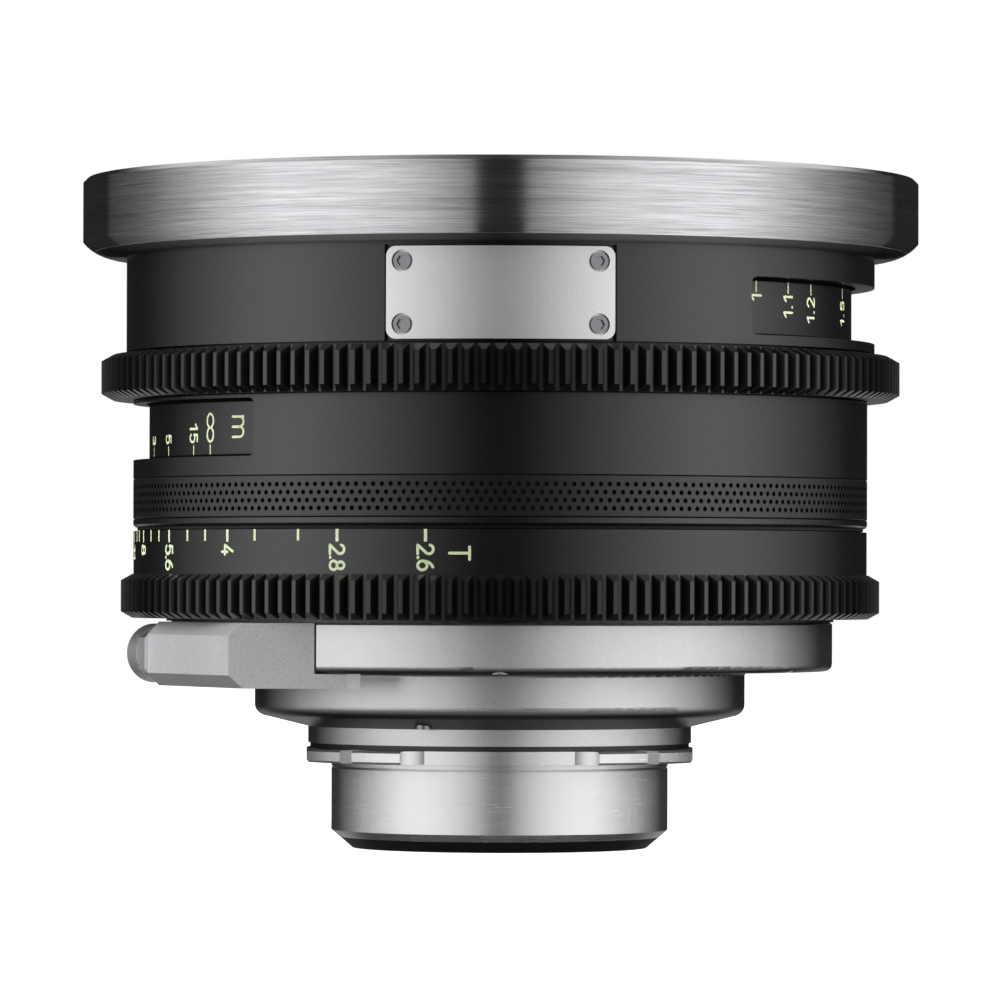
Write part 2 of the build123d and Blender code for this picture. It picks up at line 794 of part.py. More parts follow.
with BuildPart() as helicoid_ring:
    turned((helicoid_bore, z_helicoid), (helicoid_radius, z_helicoid),
           (helicoid_radius, z_web - helicoid_flange_height),
           (helicoid_radius + helicoid_flange, z_web - helicoid_flange_height),
           (helicoid_radius + helicoid_flange, z_web), (helicoid_bore, z_web))
    drill(drum_places, screw_radius + slip, helicoid_flange_height)
save(helicoid_ring, "helicoid_ring")

with BuildPart() as drum_screws:
    screws(drum_places, screw_head_radius, screw_head_height, screw_radius,
           helicoid_flange_height + drum_web - thrust_play, screw_socket, screw_socket_depth)
save(drum_screws, "drum_screws")

# Focus stops: one block in the drum meets two fixed pins, a full throw apart
stop_circle = drum_bore - stop_radius - running
block_half = stop_block_sweep / 2
stop_margin = degrees((stop_radius + running) / stop_circle)
with BuildPart() as focus_stop_block:
    ring(stop_circle - stop_block_depth / 2, drum_bore - slip, z_drum, z_drum + stop_height,
         start=-block_half, sweep=stop_block_sweep)
save(focus_stop_block, "focus_stop_block")

with BuildPart() as focus_stop_pins:
    with Locations(upward(-focus_infinity - block_half - stop_margin, stop_circle, z_rim),
                   upward(focus_close + block_half + stop_margin, stop_circle, z_rim)):
        Cylinder(stop_radius, stop_height, align=(Align.CENTER, Align.CENTER, Align.MIN))
save(focus_stop_pins, "focus_stop_pins")

# Focusing group: sleeve, three pins through the guide slots, cell and glass
pin_places = [outward(azimuth, sleeve_radius - slip, z_pin) for azimuth in pin_azimuths]
cell_radius = tube_bore - running
pin_length = sleeve_radius - slip - (cell_radius - cell_wall)
with BuildPart() as helicoid_sleeve:
    ring(sleeve_bore, sleeve_radius, z_pin - sleeve_height / 2, z_pin + sleeve_height / 2)
    bore_out([place.offset(-sleeve_wall - overrun / 2) for place in pin_places],
             pin_radius + slip, sleeve_wall + overrun)
save(helicoid_sleeve, "helicoid_sleeve")

with BuildPart() as drive_pins:
    with Locations(*pin_places):
        Cylinder(pin_radius, pin_length, align=(Align.CENTER, Align.CENTER, Align.MAX))
save(drive_pins, "drive_pins")

hub_bore = focus_glass_radius + slip
cell_hub_radius = hub_bore + cell_hub_wall
shoulder_radius = hub_bore - cell_shoulder_width
z_shoulder_top = z_shoulder + cell_shoulder
z_cell_web = z_cell + cell_web_rise
with BuildPart() as focusing_cell:
    turned((hub_bore, z_hub), (cell_hub_radius, z_hub), (cell_hub_radius, z_cell_web),
           (cell_radius - cell_wall, z_cell_web), (cell_radius - cell_wall, z_cell), (cell_radius, z_cell),
           (cell_radius, z_cell + cell_height), (cell_radius - cell_wall, z_cell + cell_height),
           (cell_radius - cell_wall, z_cell_web + cell_web), (cell_hub_radius, z_cell_web + cell_web),
           (cell_hub_radius, z_hub + cell_hub_height), (hub_bore, z_hub + cell_hub_height),
           (hub_bore, z_shoulder_top), (shoulder_radius, z_shoulder_top),
           (shoulder_radius, z_shoulder), (hub_bore, z_shoulder))
    drill(pin_places, pin_radius + slip, pin_length)
save(focusing_cell, "focusing_cell")

with BuildPart() as focus_element_front:
    glass(focus_glass_radius, z_shoulder_top, z_shoulder_top + focus_front_edge,
          -focus_back_bulge, focus_front_bulge, low_reach=focus_glass_seat)
save(focus_element_front, "focus_element_front")

with BuildPart() as focus_element_rear:
    glass(focus_glass_radius, z_shoulder - focus_rear_edge, z_shoulder,
          -focus_rear_bulge, -focus_rear_hollow, high_reach=focus_glass_seat)
save(focus_element_rear, "focus_element_rear")

with BuildPart() as focus_retainers:
    retainer(focus_glass_radius, focus_retainer_width, z_shoulder_top + focus_front_edge,
             focus_retainer_height, focus_front_bulge)
    retainer(focus_glass_radius, focus_retainer_width, z_shoulder - focus_rear_edge,
             -focus_retainer_height, focus_rear_bulge)
save(focus_retainers, "focus_retainers")

# Iris ring with its tooth ring
with BuildPart() as iris_ring:
    toothed(iris_teeth, z_iris, iris_gear_width)
    ring(neck_radius, iris_radius, z_iris_scale, z_iris_top)
    ring(0, neck_radius + running, z_iris - overrun, z_iris_top + overrun, mode=Mode.SUBTRACT)
    drill([outward(link_azimuth, iris_radius + overrun, z_link)], link_radius + slip, 2 * overrun)
save(iris_ring, "iris_ring")

# Iris: base plate with pivots, cam ring, cover plate and the link to the iris ring
rim_margin = degrees((link_radius + running) / rim_bore)
with BuildPart() as iris_housing:
    turned((iris_bore, z_iris_plate), (neck_bore - slip, z_iris_plate), (neck_bore - slip, z_iris_seat),
           (rim_outer, z_iris_seat), (rim_outer, z_iris_cover), (rim_bore, z_iris_cover),
           (rim_bore, z_iris_seat), (iris_bore, z_iris_seat))
    ring(rim_bore - slip, rim_outer + slip, z_link - link_half_height, z_iris_cover + overrun,
         start=link_start - rim_margin, sweep=iris_throw + 2 * rim_margin, mode=Mode.SUBTRACT)
    with Locations(Plane.XY.offset(z_iris_seat)):
        with PolarLocations(pivot_radius, blade_count):
            Cylinder(pivot_pin_radius + slip / 2, pivot_pin_depth + slip,
                     align=(Align.CENTER, Align.CENTER, Align.MAX), mode=Mode.SUBTRACT)
    drill(iris_places, screw_radius + slip, screw_length)
save(iris_housing, "iris_housing")

tail_angle = -90 - blade_turn / 2
tail = Vector(drive_arm * cos(radians(tail_angle)), drive_arm * sin(radians(tail_angle)), 0)


def cam_point(ring_angle):
    """Place of the first blade's drive pin in the cam ring, when the ring stands at an angle."""
    swing = blade_rest + blade_ratio * ring_angle
    return (tail.rotate(Axis.Z, swing) + Vector(pivot_radius, 0, 0)).rotate(Axis.Z, -ring_angle)


with BuildPart() as iris_cam_ring:
    turned((cam_bore, z_cam), (cam_radius, z_cam), (cam_radius, z_cam + cam_thickness + cam_rim_height),
           (cam_radius - cam_rim_width, z_cam + cam_thickness + cam_rim_height),
           (cam_radius - cam_rim_width, z_cam + cam_thickness), (cam_bore, z_cam + cam_thickness))
    with BuildLine(mode=Mode.PRIVATE) as track:
        ThreePointArc(cam_point(-iris_open_angle), cam_point((iris_close_angle - iris_open_angle) / 2),
                      cam_point(iris_close_angle))
    with BuildSketch(Plane.XY.offset(z_cam)) as tracks:
        with PolarLocations(0, blade_count):
            SlotArc(track.edge(), 2 * (drive_pin_radius + cam_clearance))
    extrude(tracks.sketch, amount=cam_thickness, mode=Mode.SUBTRACT)
    drill([outward(link_azimuth, cam_radius + overrun, z_link)], link_radius + slip,
          overrun + cam_rim_width + slip)
save(iris_cam_ring, "iris_cam_ring")

with BuildPart() as iris_cover_plate:
    ring(iris_bore, rim_outer, z_iris_cover, z_iris_cover + iris_cover)
    drill(iris_places, screw_radius + slip, screw_length)
save(iris_cover_plate, "iris_cover_plate")

with BuildPart() as iris_drive_pin:
    with Locations(outward(link_azimuth, link_inner, z_link)):
        Cylinder(link_radius, iris_radius - link_sink - link_inner,
                 align=(Align.CENTER, Align.CENTER, Align.MIN))
save(iris_drive_pin, "iris_drive_pin")

# Nine blades, each at its own level, turned to the rest opening
blade_middle = blade_radius + blade_width / 2
blade_start = degrees(blade_width / 2 / blade_middle)
for number in range(blade_count):
    seat = 360 * number / blade_count
    level = z_blades + blade_pitch * number
    pivot = Vector(pivot_radius, 0, 0).rotate(Axis.Z, seat) + Vector(0, 0, level)
    blade_axis = Vector(1, 0, 0).rotate(Axis.Z, seat + blade_rest)
    blade_plane = Plane(origin=pivot, x_dir=blade_axis, z_dir=(0, 0, 1))
    with BuildPart(blade_plane) as blade:
        with BuildLine(mode=Mode.PRIVATE) as spine:
            CenterArc((-pivot_radius, 0), blade_middle, 0, blade_arc - blade_start)
        with BuildSketch(blade_plane):
            SlotArc(spine.edge(), blade_width)
            SlotCenterPoint(((blade_middle - pivot_radius) / 2, 0), (0, 0), ear_width)
            SlotCenterPoint(tail / 2, tail, arm_width)
        extrude(amount=blade_thickness)
        Cylinder(pivot_pin_radius, level - z_iris_seat + pivot_pin_depth,
                 align=(Align.CENTER, Align.CENTER, Align.MAX))
        with Locations(tail):
            Cylinder(drive_pin_radius, z_cam + cam_thickness - level,
                     align=(Align.CENTER, Align.CENTER, Align.MIN))
    save(blade, f"iris_blade_{number + 1}")

# Mount base: large ring, step, cone and pilot, with the pocket of the data socket
socket_frame = Plane(origin=(0, 0, socket_low), x_dir=direction(socket_azimuth), z_dir=(0, 0, 1))
lock_screw_place = downward(lock_screw_azimuth, lock_screw_circle, z_cone + lock_screw_sink)
with BuildPart() as mount_base:
    with BuildSketch(cross_section()) as base_profile:
        with BuildLine():
            Polyline((rear_radius + 2 * slip, z_pilot), (pilot_radius, z_pilot), (pilot_radius, z_cone),
                     (step_radius, z_step), (step_radius, z_base), (base_radius, z_base),
                     (base_radius, z_neck - base_bevel), (base_radius - base_bevel, z_neck),
                     (neck_bore - slip, z_neck), (neck_bore - slip, z_iris_plate),
                     (neck_bore - slip - base_spigot_wall, z_iris_plate),
                     (neck_bore - slip - base_spigot_wall, z_neck), (base_cavity, z_neck),
                     (base_cavity, z_base_floor), (cell_cavity, z_base_floor), (cell_cavity, z_cell_floor),
                     (rear_bore, z_cell_floor), (rear_bore, z_pilot + pilot_socket),
                     (rear_radius + 2 * slip, z_pilot + pilot_socket), close=True)
        make_face()
        fillet(nearest(base_profile, step_radius, z_step), step_corner)
        fillet(nearest(base_profile, step_radius, z_base), base_fillet)
        fillet(nearest(base_profile, base_radius, z_base), base_corner)
    revolve(axis=Axis.Z)
    with BuildSketch(socket_frame) as pocket:
        with Locations((socket_inner - socket_gap, 0)):
            Rectangle(base_radius, 2 * base_radius, align=(Align.MIN, Align.CENTER))
    extrude(pocket.sketch, amount=z_neck - socket_low, mode=Mode.SUBTRACT)
    with BuildSketch(Plane.XY.offset(socket_low)) as foot_pocket:
        with Locations((socket_foot_end + socket_gap, socket_front + socket_foot_depth + socket_gap)):
            Rectangle(base_radius, base_radius, align=(Align.MAX, Align.MAX))
    extrude(foot_pocket.sketch, amount=z_neck - socket_low, mode=Mode.SUBTRACT)
    bore_out(base_places, screw_head_radius + slip, base_height)
    drill(base_places, screw_radius + slip, screw_grip)
    drill(cell_places, screw_radius + slip, screw_length)
    with Locations(*[upward(360 * turn / mount_screw_count, mount_screw_circle, z_pilot)
                     for turn in range(mount_screw_count)]):
        Cylinder(mount_screw_radius + slip / 2, mount_screw_length - z_pilot + slip,
                 align=(Align.CENTER, Align.CENTER, Align.MIN), mode=Mode.SUBTRACT)
    bore_out([lock_screw_place], lock_screw_head + slip, cone_height)
    drill([lock_screw_place], lock_screw_radius + slip / 2, lock_screw_length)
save(mount_base, "mount_base")

with BuildPart() as base_lock_screw:
    screws([lock_screw_place], lock_screw_head, lock_screw_head_height, lock_screw_radius,
           lock_screw_length, socket_across_flats, socket_depth)
save(base_lock_screw, "base_lock_screw")

# Shims between the mount base and the mount flange
mount_angles = [360 * turn / mount_screw_count for turn in range(mount_screw_count)]
with BuildPart() as shims:
    low = z_shim
    for thickness in shim_thicknesses:
        with BuildSketch(Plane.XY.offset(low)) as shim:
            Circle(shim_radius)
            Circle(rear_radius + 2 * slip, mode=Mode.SUBTRACT)
            with PolarLocations(mount_screw_circle, mount_screw_count):
                Circle(mount_screw_radius + slip, mode=Mode.SUBTRACT)
        extrude(shim.sketch, amount=thickness - slip / 10)
        low += thickness
save(shims, "shims")

# Mount flange: seat face, four tabs and the 54 mm rear barrel
rear_metal_end = -rear_length - rear_metal_bevel
rear_metal_radius = rear_radius - rear_metal_bevel * rear_bevel_run / rear_bevel
groove_middle = -rear_groove_drop - rear_groove
tab_azimuths = [tab_start + 360 * tab / tab_count for tab in range(tab_count)]
with BuildPart() as mount_flange:
    turned((rear_bore, rear_metal_end), (rear_metal_radius, rear_metal_end), (rear_radius, -rear_length),
           (rear_radius, groove_middle - rear_groove), (rear_radius - rear_groove, groove_middle),
           (rear_radius, groove_middle + rear_groove), (rear_radius, 0), (tab_root_radius, 0),
           (tab_root_radius, z_shim), (rear_radius + slip, z_shim),
           (rear_radius + slip, z_pilot + pilot_socket - slip), (rear_bore, z_pilot + pilot_socket - slip))
    for azimuth in tab_azimuths:
        with BuildSketch(Plane(origin=(0, 0, 0), x_dir=direction(azimuth), z_dir=(0, 0, 1))) as tab:
            with BuildLine():
                rim = CenterArc((0, 0), tab_radius, -tab_sweep / 2, tab_sweep)
                root = CenterArc((0, 0), tab_root_radius - slip, -tab_root_sweep / 2, tab_root_sweep)
                SagittaArc(rim @ 0, root @ 0, -tab_scoop)
                SagittaArc(rim @ 1, root @ 1, tab_scoop)
            make_face()
        extrude(tab.sketch, amount=flange_thickness)
    rims = mount_flange.edges().filter_by(GeomType.CIRCLE)
    chamfer(rims.filter_by(lambda edge: abs(edge.radius - tab_radius) < slip), tab_edge)
    for azimuth in tab_azimuths:
        with BuildSketch(outward(azimuth, tab_root_radius, flange_thickness / 2)) as notch:
            Rectangle(tab_notch, 2 * flange_thickness)
        extrude(notch.sketch, amount=overrun, mode=Mode.SUBTRACT)
    for angle in mount_angles:
        with Locations(downward(angle, mount_screw_circle, 0)):
            CounterSinkHole(mount_screw_radius + slip, mount_screw_head + slip / 2, z_pilot + pilot_socket)
save(mount_flange, "mount_flange")

with BuildPart() as mount_screws:
    for angle in mount_angles:
        with Locations(downward(angle, mount_screw_circle, 0)):
            Cone(mount_screw_radius, mount_screw_head, mount_screw_head - mount_screw_radius,
                 align=(Align.CENTER, Align.CENTER, Align.MAX))
            Cylinder(mount_screw_radius, mount_screw_length, align=(Align.CENTER, Align.CENTER, Align.MAX))
save(mount_screws, "mount_screws")

# Rear cell with a cemented doublet and two rear elements
cell_bore = rear_glass_radius + slip
z_doublet = z_cell_flange + doublet_seat
with BuildPart() as rear_lens_cell:
    turned((doublet_radius + slip, z_cell_flange + rear_cell_neck_height),
           (rear_cell_neck, z_cell_flange + rear_cell_neck_height), (rear_cell_neck, z_cell_flange),
           (rear_cell_flange_radius, z_cell_flange), (rear_cell_flange_radius, z_cell_floor),
           (rear_cell_radius, z_cell_floor), (rear_cell_radius, -rear_cell_length),
           (cell_bore, -rear_cell_length), (cell_bore, rear_shoulder_height),
           (rear_glass_seat + slip, rear_shoulder_height), (rear_throat, z_doublet - 3 * doublet_seat),
           (rear_throat, z_doublet), (doublet_radius + slip, z_doublet))
    drill(cell_places, screw_radius + slip, screw_length)
save(rear_lens_cell, "rear_lens_cell")

z_join = z_doublet + doublet_rear_edge
with BuildPart() as rear_doublet_rear:
    glass(doublet_radius, z_doublet, z_join, 0, -doublet_join_bulge)
save(rear_doublet_rear, "rear_doublet_rear")

z_doublet_top = z_join + cement + doublet_front_edge
with BuildPart() as rear_doublet_front:
    glass(doublet_radius, z_join + cement, z_doublet_top, -doublet_join_bulge, doublet_front_bulge)
save(rear_doublet_front, "rear_doublet_front")

with BuildPart() as doublet_retainer:
    retainer(doublet_radius, retainer_width, z_doublet_top, doublet_retainer_height, doublet_front_bulge)
save(doublet_retainer, "doublet_retainer")

z_rear_front = rear_shoulder_height - rear_front_edge
with BuildPart() as rear_element_front:
    glass(rear_glass_radius, z_rear_front, rear_shoulder_height, -rear_front_back_bulge, rear_front_bulge,
          low_reach=rear_glass_radius - rear_spacer_wall - slip, high_reach=rear_glass_seat)
save(rear_element_front, "rear_element_front")

z_spacer = z_rear_front - rear_spacer_height
with BuildPart() as rear_spacer:
    ring(rear_glass_radius - rear_spacer_wall, rear_glass_radius, z_spacer, z_rear_front)
save(rear_spacer, "rear_spacer")

z_rear_back = z_spacer - rear_back_edge
with BuildPart() as rear_element_back:
    glass(rear_glass_radius, z_rear_back, z_spacer, -rear_back_bulge, -rear_back_hollow,
          high_reach=rear_glass_radius - rear_spacer_wall - slip)
save(rear_element_back, "rear_element_back")

with BuildPart() as rear_retainer:
    retainer(rear_glass_radius, retainer_width, z_rear_back, -rear_retainer_height, rear_back_bulge)
save(rear_retainer, "rear_retainer")

baffle_low = -rear_length - rear_bevel
baffle_top = -rear_cell_length - slip
with BuildPart() as rear_baffle:
    turned((baffle_opening, baffle_low), (rear_radius - rear_bevel_run, baffle_low),
           (rear_metal_radius, rear_metal_end), (rear_bore - slip, rear_metal_end),
           (rear_bore - slip, baffle_top), (baffle_opening + baffle_seat, baffle_top))
save(rear_baffle, "rear_baffle")

# One kind of cap screw holds the barrels, the rear cell, the iris cover and the mount base
with BuildPart() as body_screws:
    screws(barrel_places + iris_places + cell_places + base_places, screw_head_radius, screw_head_height,
           screw_radius, screw_length, screw_socket, screw_socket_depth)
save(body_screws, "body_screws")

# Housing of the data socket: bevelled arm, foot and tongue under the mount base
arm_direction = direction(socket_azimuth + 90) * -1
front_corner = direction(socket_azimuth) * socket_outer
front_corner += arm_direction * ((socket_front - front_corner.Y) / arm_direction.Y)
rear_corner = direction(socket_azimuth) * socket_outer + arm_direction * socket_arm_end
rear_inner = direction(socket_azimuth) * socket_inner + arm_direction * socket_arm_end
foot_back = socket_front + socket_foot_depth
inner_line = direction(socket_azimuth) * socket_inner
inner_front = inner_line + arm_direction * ((foot_back - inner_line.Y) / arm_direction.Y)
socket_axis_point = direction(socket_azimuth) * socket_axis + Vector(0, 0, z_socket)
socket_end = Plane(origin=socket_axis_point + arm_direction * socket_arm_end,
                   x_dir=direction(socket_azimuth), z_dir=arm_direction)
with BuildPart() as connector_housing:
    with BuildSketch(Plane.XY.offset(socket_low)):
        with BuildLine():
            Polyline(front_corner, rear_corner, rear_inner, inner_front, (socket_foot_end, foot_back),
                     (socket_foot_end, socket_front), close=True)
        make_face()
    extrude(amount=socket_block_height)
    arm_edges = connector_housing.edges().filter_by(
        lambda edge: abs((edge @ 1 - edge @ 0).dot(arm_direction)) > edge.length - slip)
    arm_edges = arm_edges.filter_by(lambda edge: edge.length > overrun)
    chamfer(arm_edges.sort_by(lambda edge: edge.center().dot(direction(socket_azimuth)))[-2:], socket_bevel)
    with BuildSketch(Plane.XY.offset(socket_low)) as tongue:
        with BuildLine():
            Polyline((socket_foot_end - slip, socket_front),
                     (socket_tongue_end - socket_tongue_corner, socket_front),
                     (socket_tongue_end, socket_front + socket_tongue_corner),
                     (socket_tongue_end, foot_back), (socket_foot_end - slip, foot_back), close=True)
        make_face()
    extrude(tongue.sketch, amount=z_base - socket_low - slip)
    drill([socket_end], socket_bore, socket_bore_depth)
save(connector_housing, "connector_housing")

# Data socket: threaded shell with its collar, nut, insulator and contacts
with BuildPart(socket_end) as socket_nut:
    with BuildSketch(socket_end):
        RegularPolygon(nut_across_flats / 2, 6, major_radius=False, rotation=30)
        Circle(socket_bore, mode=Mode.SUBTRACT)
    extrude(amount=nut_height)
save(socket_nut, "socket_nut")

shell_radius = socket_bore - slip
shell_top = nut_height + shell_collar_height
insert_top = shell_top - insert_setback
with BuildPart(socket_end) as socket_shell:
    with Locations((0, 0, nut_height)):
        Cylinder(shell_radius, nut_height + socket_bore_depth, align=(Align.CENTER, Align.CENTER, Align.MAX))
        Cylinder(shell_collar_radius, shell_collar_height, align=(Align.CENTER, Align.CENTER, Align.MIN))
    with Locations((0, 0, shell_top)):
        Cylinder(shell_radius - shell_wall, shell_top + socket_bore_depth + slip,
                 align=(Align.CENTER, Align.CENTER, Align.MAX), mode=Mode.SUBTRACT)
save(socket_shell, "socket_shell")

with BuildPart(socket_end) as socket_insert:
    with Locations((0, 0, insert_top)):
        Cylinder(shell_radius - shell_wall - slip, insert_length,
                 align=(Align.CENTER, Align.CENTER, Align.MAX))
        with PolarLocations(contact_circle, contact_count):
            Cylinder(contact_radius, insert_length, align=(Align.CENTER, Align.CENTER, Align.MAX),
                     mode=Mode.SUBTRACT)
save(socket_insert, "socket_insert")

with BuildPart(socket_end) as socket_contacts:
    with Locations((0, 0, insert_top + contact_proud)):
        with PolarLocations(contact_circle, contact_count):
            Cylinder(contact_radius - slip / 4, insert_length + 2 * contact_proud,
                     align=(Align.CENTER, Align.CENTER, Align.MAX))
save(socket_contacts, "socket_contacts")
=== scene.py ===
# Cinema prime lens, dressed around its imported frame.
# Lengths are metres unless a name ends in Mm. The lens stands on its mount with the front glass up, and an
# azimuth is counted in degrees about +Z from the nameplate side, which faces -Y.
import math

import bpy
import numpy as np
from mathutils import Matrix, Vector


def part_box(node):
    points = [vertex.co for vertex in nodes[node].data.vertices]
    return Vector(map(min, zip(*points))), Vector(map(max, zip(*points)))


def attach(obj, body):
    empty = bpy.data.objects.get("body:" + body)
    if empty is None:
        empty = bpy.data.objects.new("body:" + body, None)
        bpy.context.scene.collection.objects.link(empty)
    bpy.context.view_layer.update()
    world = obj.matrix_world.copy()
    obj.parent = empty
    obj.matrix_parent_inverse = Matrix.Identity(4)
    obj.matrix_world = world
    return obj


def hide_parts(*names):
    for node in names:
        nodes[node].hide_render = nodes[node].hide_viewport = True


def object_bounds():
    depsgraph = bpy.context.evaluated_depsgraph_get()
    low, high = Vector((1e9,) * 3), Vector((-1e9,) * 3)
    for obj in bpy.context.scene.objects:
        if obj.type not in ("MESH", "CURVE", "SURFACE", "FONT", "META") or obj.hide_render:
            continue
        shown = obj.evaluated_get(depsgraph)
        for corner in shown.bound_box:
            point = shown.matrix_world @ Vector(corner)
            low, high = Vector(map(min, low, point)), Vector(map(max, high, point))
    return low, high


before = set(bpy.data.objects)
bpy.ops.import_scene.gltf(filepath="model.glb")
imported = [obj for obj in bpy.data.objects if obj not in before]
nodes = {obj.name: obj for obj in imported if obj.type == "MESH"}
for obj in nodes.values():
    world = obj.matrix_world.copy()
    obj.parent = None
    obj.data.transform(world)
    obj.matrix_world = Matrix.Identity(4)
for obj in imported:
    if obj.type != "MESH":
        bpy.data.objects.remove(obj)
cadLow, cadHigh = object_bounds()
mm = 0.001
print("frame loaded:", len(nodes), "nodes")


# Sizes read from the frame, with the two that a box doesn't give
def outerRadius(name):
    low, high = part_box(name)
    return (high.x - low.x) / 2


shoulderHeight = 0.9 * mm  # the drum's shoulder stands this far proud of its scale
drumRadius = outerRadius("scale_drum") - shoulderHeight
irisRadius = 58.8 * mm  # the smooth part of the iris ring, which carries the T scale
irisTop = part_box("iris_ring")[1].z
lowerRadius = outerRadius("lower_cover")
gripLow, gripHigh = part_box("grip_band")


# Shader helpers
def addNode(tree, kind, **settings):
    node = tree.nodes.new(kind)
    for key, value in settings.items():
        if hasattr(node, key):
            setattr(node, key, value)
        else:
            node.inputs[key].default_value = value
    return node


def mathNode(tree, operation, first, second=None, clamp=False):
    node = tree.nodes.new("ShaderNodeMath")
    node.operation = operation
    node.use_clamp = clamp
    for place, value in enumerate((first, second)):
        if value is None:
            continue
        if isinstance(value, (int, float)):
            node.inputs[place].default_value = value
        else:
            tree.links.new(value, node.inputs[place])
    return node.outputs[0]


def mapRange(tree, value, low, high, toLow, toHigh, smooth=False):
    node = addNode(tree, "ShaderNodeMapRange", interpolation_type="SMOOTHSTEP" if smooth else "LINEAR")
    tree.links.new(value, node.inputs["Value"])
    for name, number in (("From Min", low), ("From Max", high), ("To Min", toLow), ("To Max", toHigh)):
        if isinstance(number, (int, float)):
            node.inputs[name].default_value = number
        else:
            tree.links.new(number, node.inputs[name])
    return node.outputs["Result"]


def partsOf(tree, vector):
    node = addNode(tree, "ShaderNodeSeparateXYZ")
    tree.links.new(vector, node.inputs[0])
    return node.outputs


def newGroup(name, inputs, outputs):
    group = bpy.data.node_groups.new(name, "ShaderNodeTree")
    for label, value in inputs.items():
        socket = group.interface.new_socket(label, in_out="INPUT", socket_type="NodeSocketFloat")
        socket.default_value = value
    for label in outputs:
        group.interface.new_socket(label, in_out="OUTPUT", socket_type="NodeSocketFloat")
    start = group.nodes.new("NodeGroupInput")
    end = group.nodes.new("NodeGroupOutput")
    return group, start, end


def mixTone(group, start, end, fine, coarse, fineShare):
    # Mixes two noises. Tone is 1 plus the contrast times how far the mix is from its middle.
    both = mathNode(group, "ADD", mathNode(group, "MULTIPLY", fine.outputs["Fac"], fineShare),
                    mathNode(group, "MULTIPLY", coarse.outputs["Fac"], 1.0 - fineShare))
    swing = mathNode(group, "MULTIPLY", mathNode(group, "SUBTRACT", both, 0.5), start.outputs["Contrast"])
    group.links.new(mathNode(group, "ADD", swing, 1.0), end.inputs["Tone"])
    return both


def grainGroup():
    # Bead-blast and anodising grain: fine round noise with a slow cloud over it
    inputs = {"Fineness": 5000.0, "Cloud": 60.0, "Contrast": 0.1}
    group, start, end = newGroup("fineGrain", inputs, ["Height", "Tone"])
    coords = addNode(group, "ShaderNodeTexCoord")
    fine = addNode(group, "ShaderNodeTexNoise", Detail=2.0, Roughness=0.6)
    cloud = addNode(group, "ShaderNodeTexNoise", Detail=2.0, Roughness=0.5)
    for noise, label in ((fine, "Fineness"), (cloud, "Cloud")):
        group.links.new(coords.outputs["Object"], noise.inputs["Vector"])
        group.links.new(start.outputs[label], noise.inputs["Scale"])
    group.links.new(fine.outputs["Fac"], end.inputs["Height"])
    mixTone(group, start, end, fine, cloud, fineShare=0.65)
    return group


def brushGroup():
    # Turned or brushed lines round the axis: noise that is long in x and y and very short in z
    inputs = {"Fineness": 4000.0, "Length": 120.0, "Contrast": 0.3}
    group, start, end = newGroup("turnedLines", inputs, ["Height", "Tone"])
    coords = addNode(group, "ShaderNodeTexCoord")
    spread = addNode(group, "ShaderNodeCombineXYZ")
    for label, axis in (("Length", "X"), ("Length", "Y"), ("Fineness", "Z")):
        group.links.new(start.outputs[label], spread.inputs[axis])
    stretched = addNode(group, "ShaderNodeVectorMath", operation="MULTIPLY")
    group.links.new(coords.outputs["Object"], stretched.inputs[0])
    group.links.new(spread.outputs[0], stretched.inputs[1])
    lines = addNode(group, "ShaderNodeTexNoise", Scale=1.0, Detail=3.0, Roughness=0.7)
    broad = addNode(group, "ShaderNodeTexNoise", Scale=0.22, Detail=1.0, Roughness=0.5)
    for noise in (lines, broad):
        group.links.new(stretched.outputs[0], noise.inputs["Vector"])
    both = mixTone(group, start, end, lines, broad, fineShare=0.7)
    group.links.new(both, end.inputs["Height"])
    return group


def zoneGroup():
    # A band of heights outside a radius: 1 inside the zone, 0 elsewhere
    inputs = {"Low": 0.0, "High": 1.0, "Radius": 0.0, "Edge": 0.05 * mm}
    group, start, end = newGroup("ringZone", inputs, ["Mask"])
    coords = addNode(group, "ShaderNodeTexCoord")
    parts = partsOf(group, coords.outputs["Object"])
    flat = addNode(group, "ShaderNodeCombineXYZ")
    for axis in "XY":
        group.links.new(parts[axis], flat.inputs[axis])
    reach = addNode(group, "ShaderNodeVectorMath", operation="LENGTH")
    group.links.new(flat.outputs[0], reach.inputs[0])

    def step(value, limit):
        gap = mathNode(group, "SUBTRACT", value, limit)
        return mathNode(group, "ADD", mathNode(group, "DIVIDE", gap, start.outputs["Edge"]), 0.5, clamp=True)

    above = step(parts["Z"], start.outputs["Low"])
    below = step(start.outputs["High"], parts["Z"])
    outside = step(reach.outputs["Value"], start.outputs["Radius"])
    inside = mathNode(group, "MULTIPLY", mathNode(group, "MULTIPLY", above, below), outside)
    group.links.new(inside, end.inputs["Mask"])
    return group


fineGrain = grainGroup()
turnedLines = brushGroup()
ringZone = zoneGroup()


def useGroup(tree, group, **values):
    node = tree.nodes.new("ShaderNodeGroup")
    node.node_tree = group
    for label, value in values.items():
        node.inputs[label].default_value = value
    return node


def useGrain(tree, values):
    return useGroup(tree, fineGrain, Fineness=values["fineness"], Cloud=values["cloud"],
                    Contrast=values["contrast"])


def useLines(tree, values):
    return useGroup(tree, turnedLines, Fineness=values["fineness"], Length=values["length"],
                    Contrast=values["contrast"])


def newFinish(name):
    material = bpy.data.materials.new(name)
    material.use_nodes = True
    tree = material.node_tree
    shader = tree.nodes["Principled BSDF"]
    return material, tree, shader


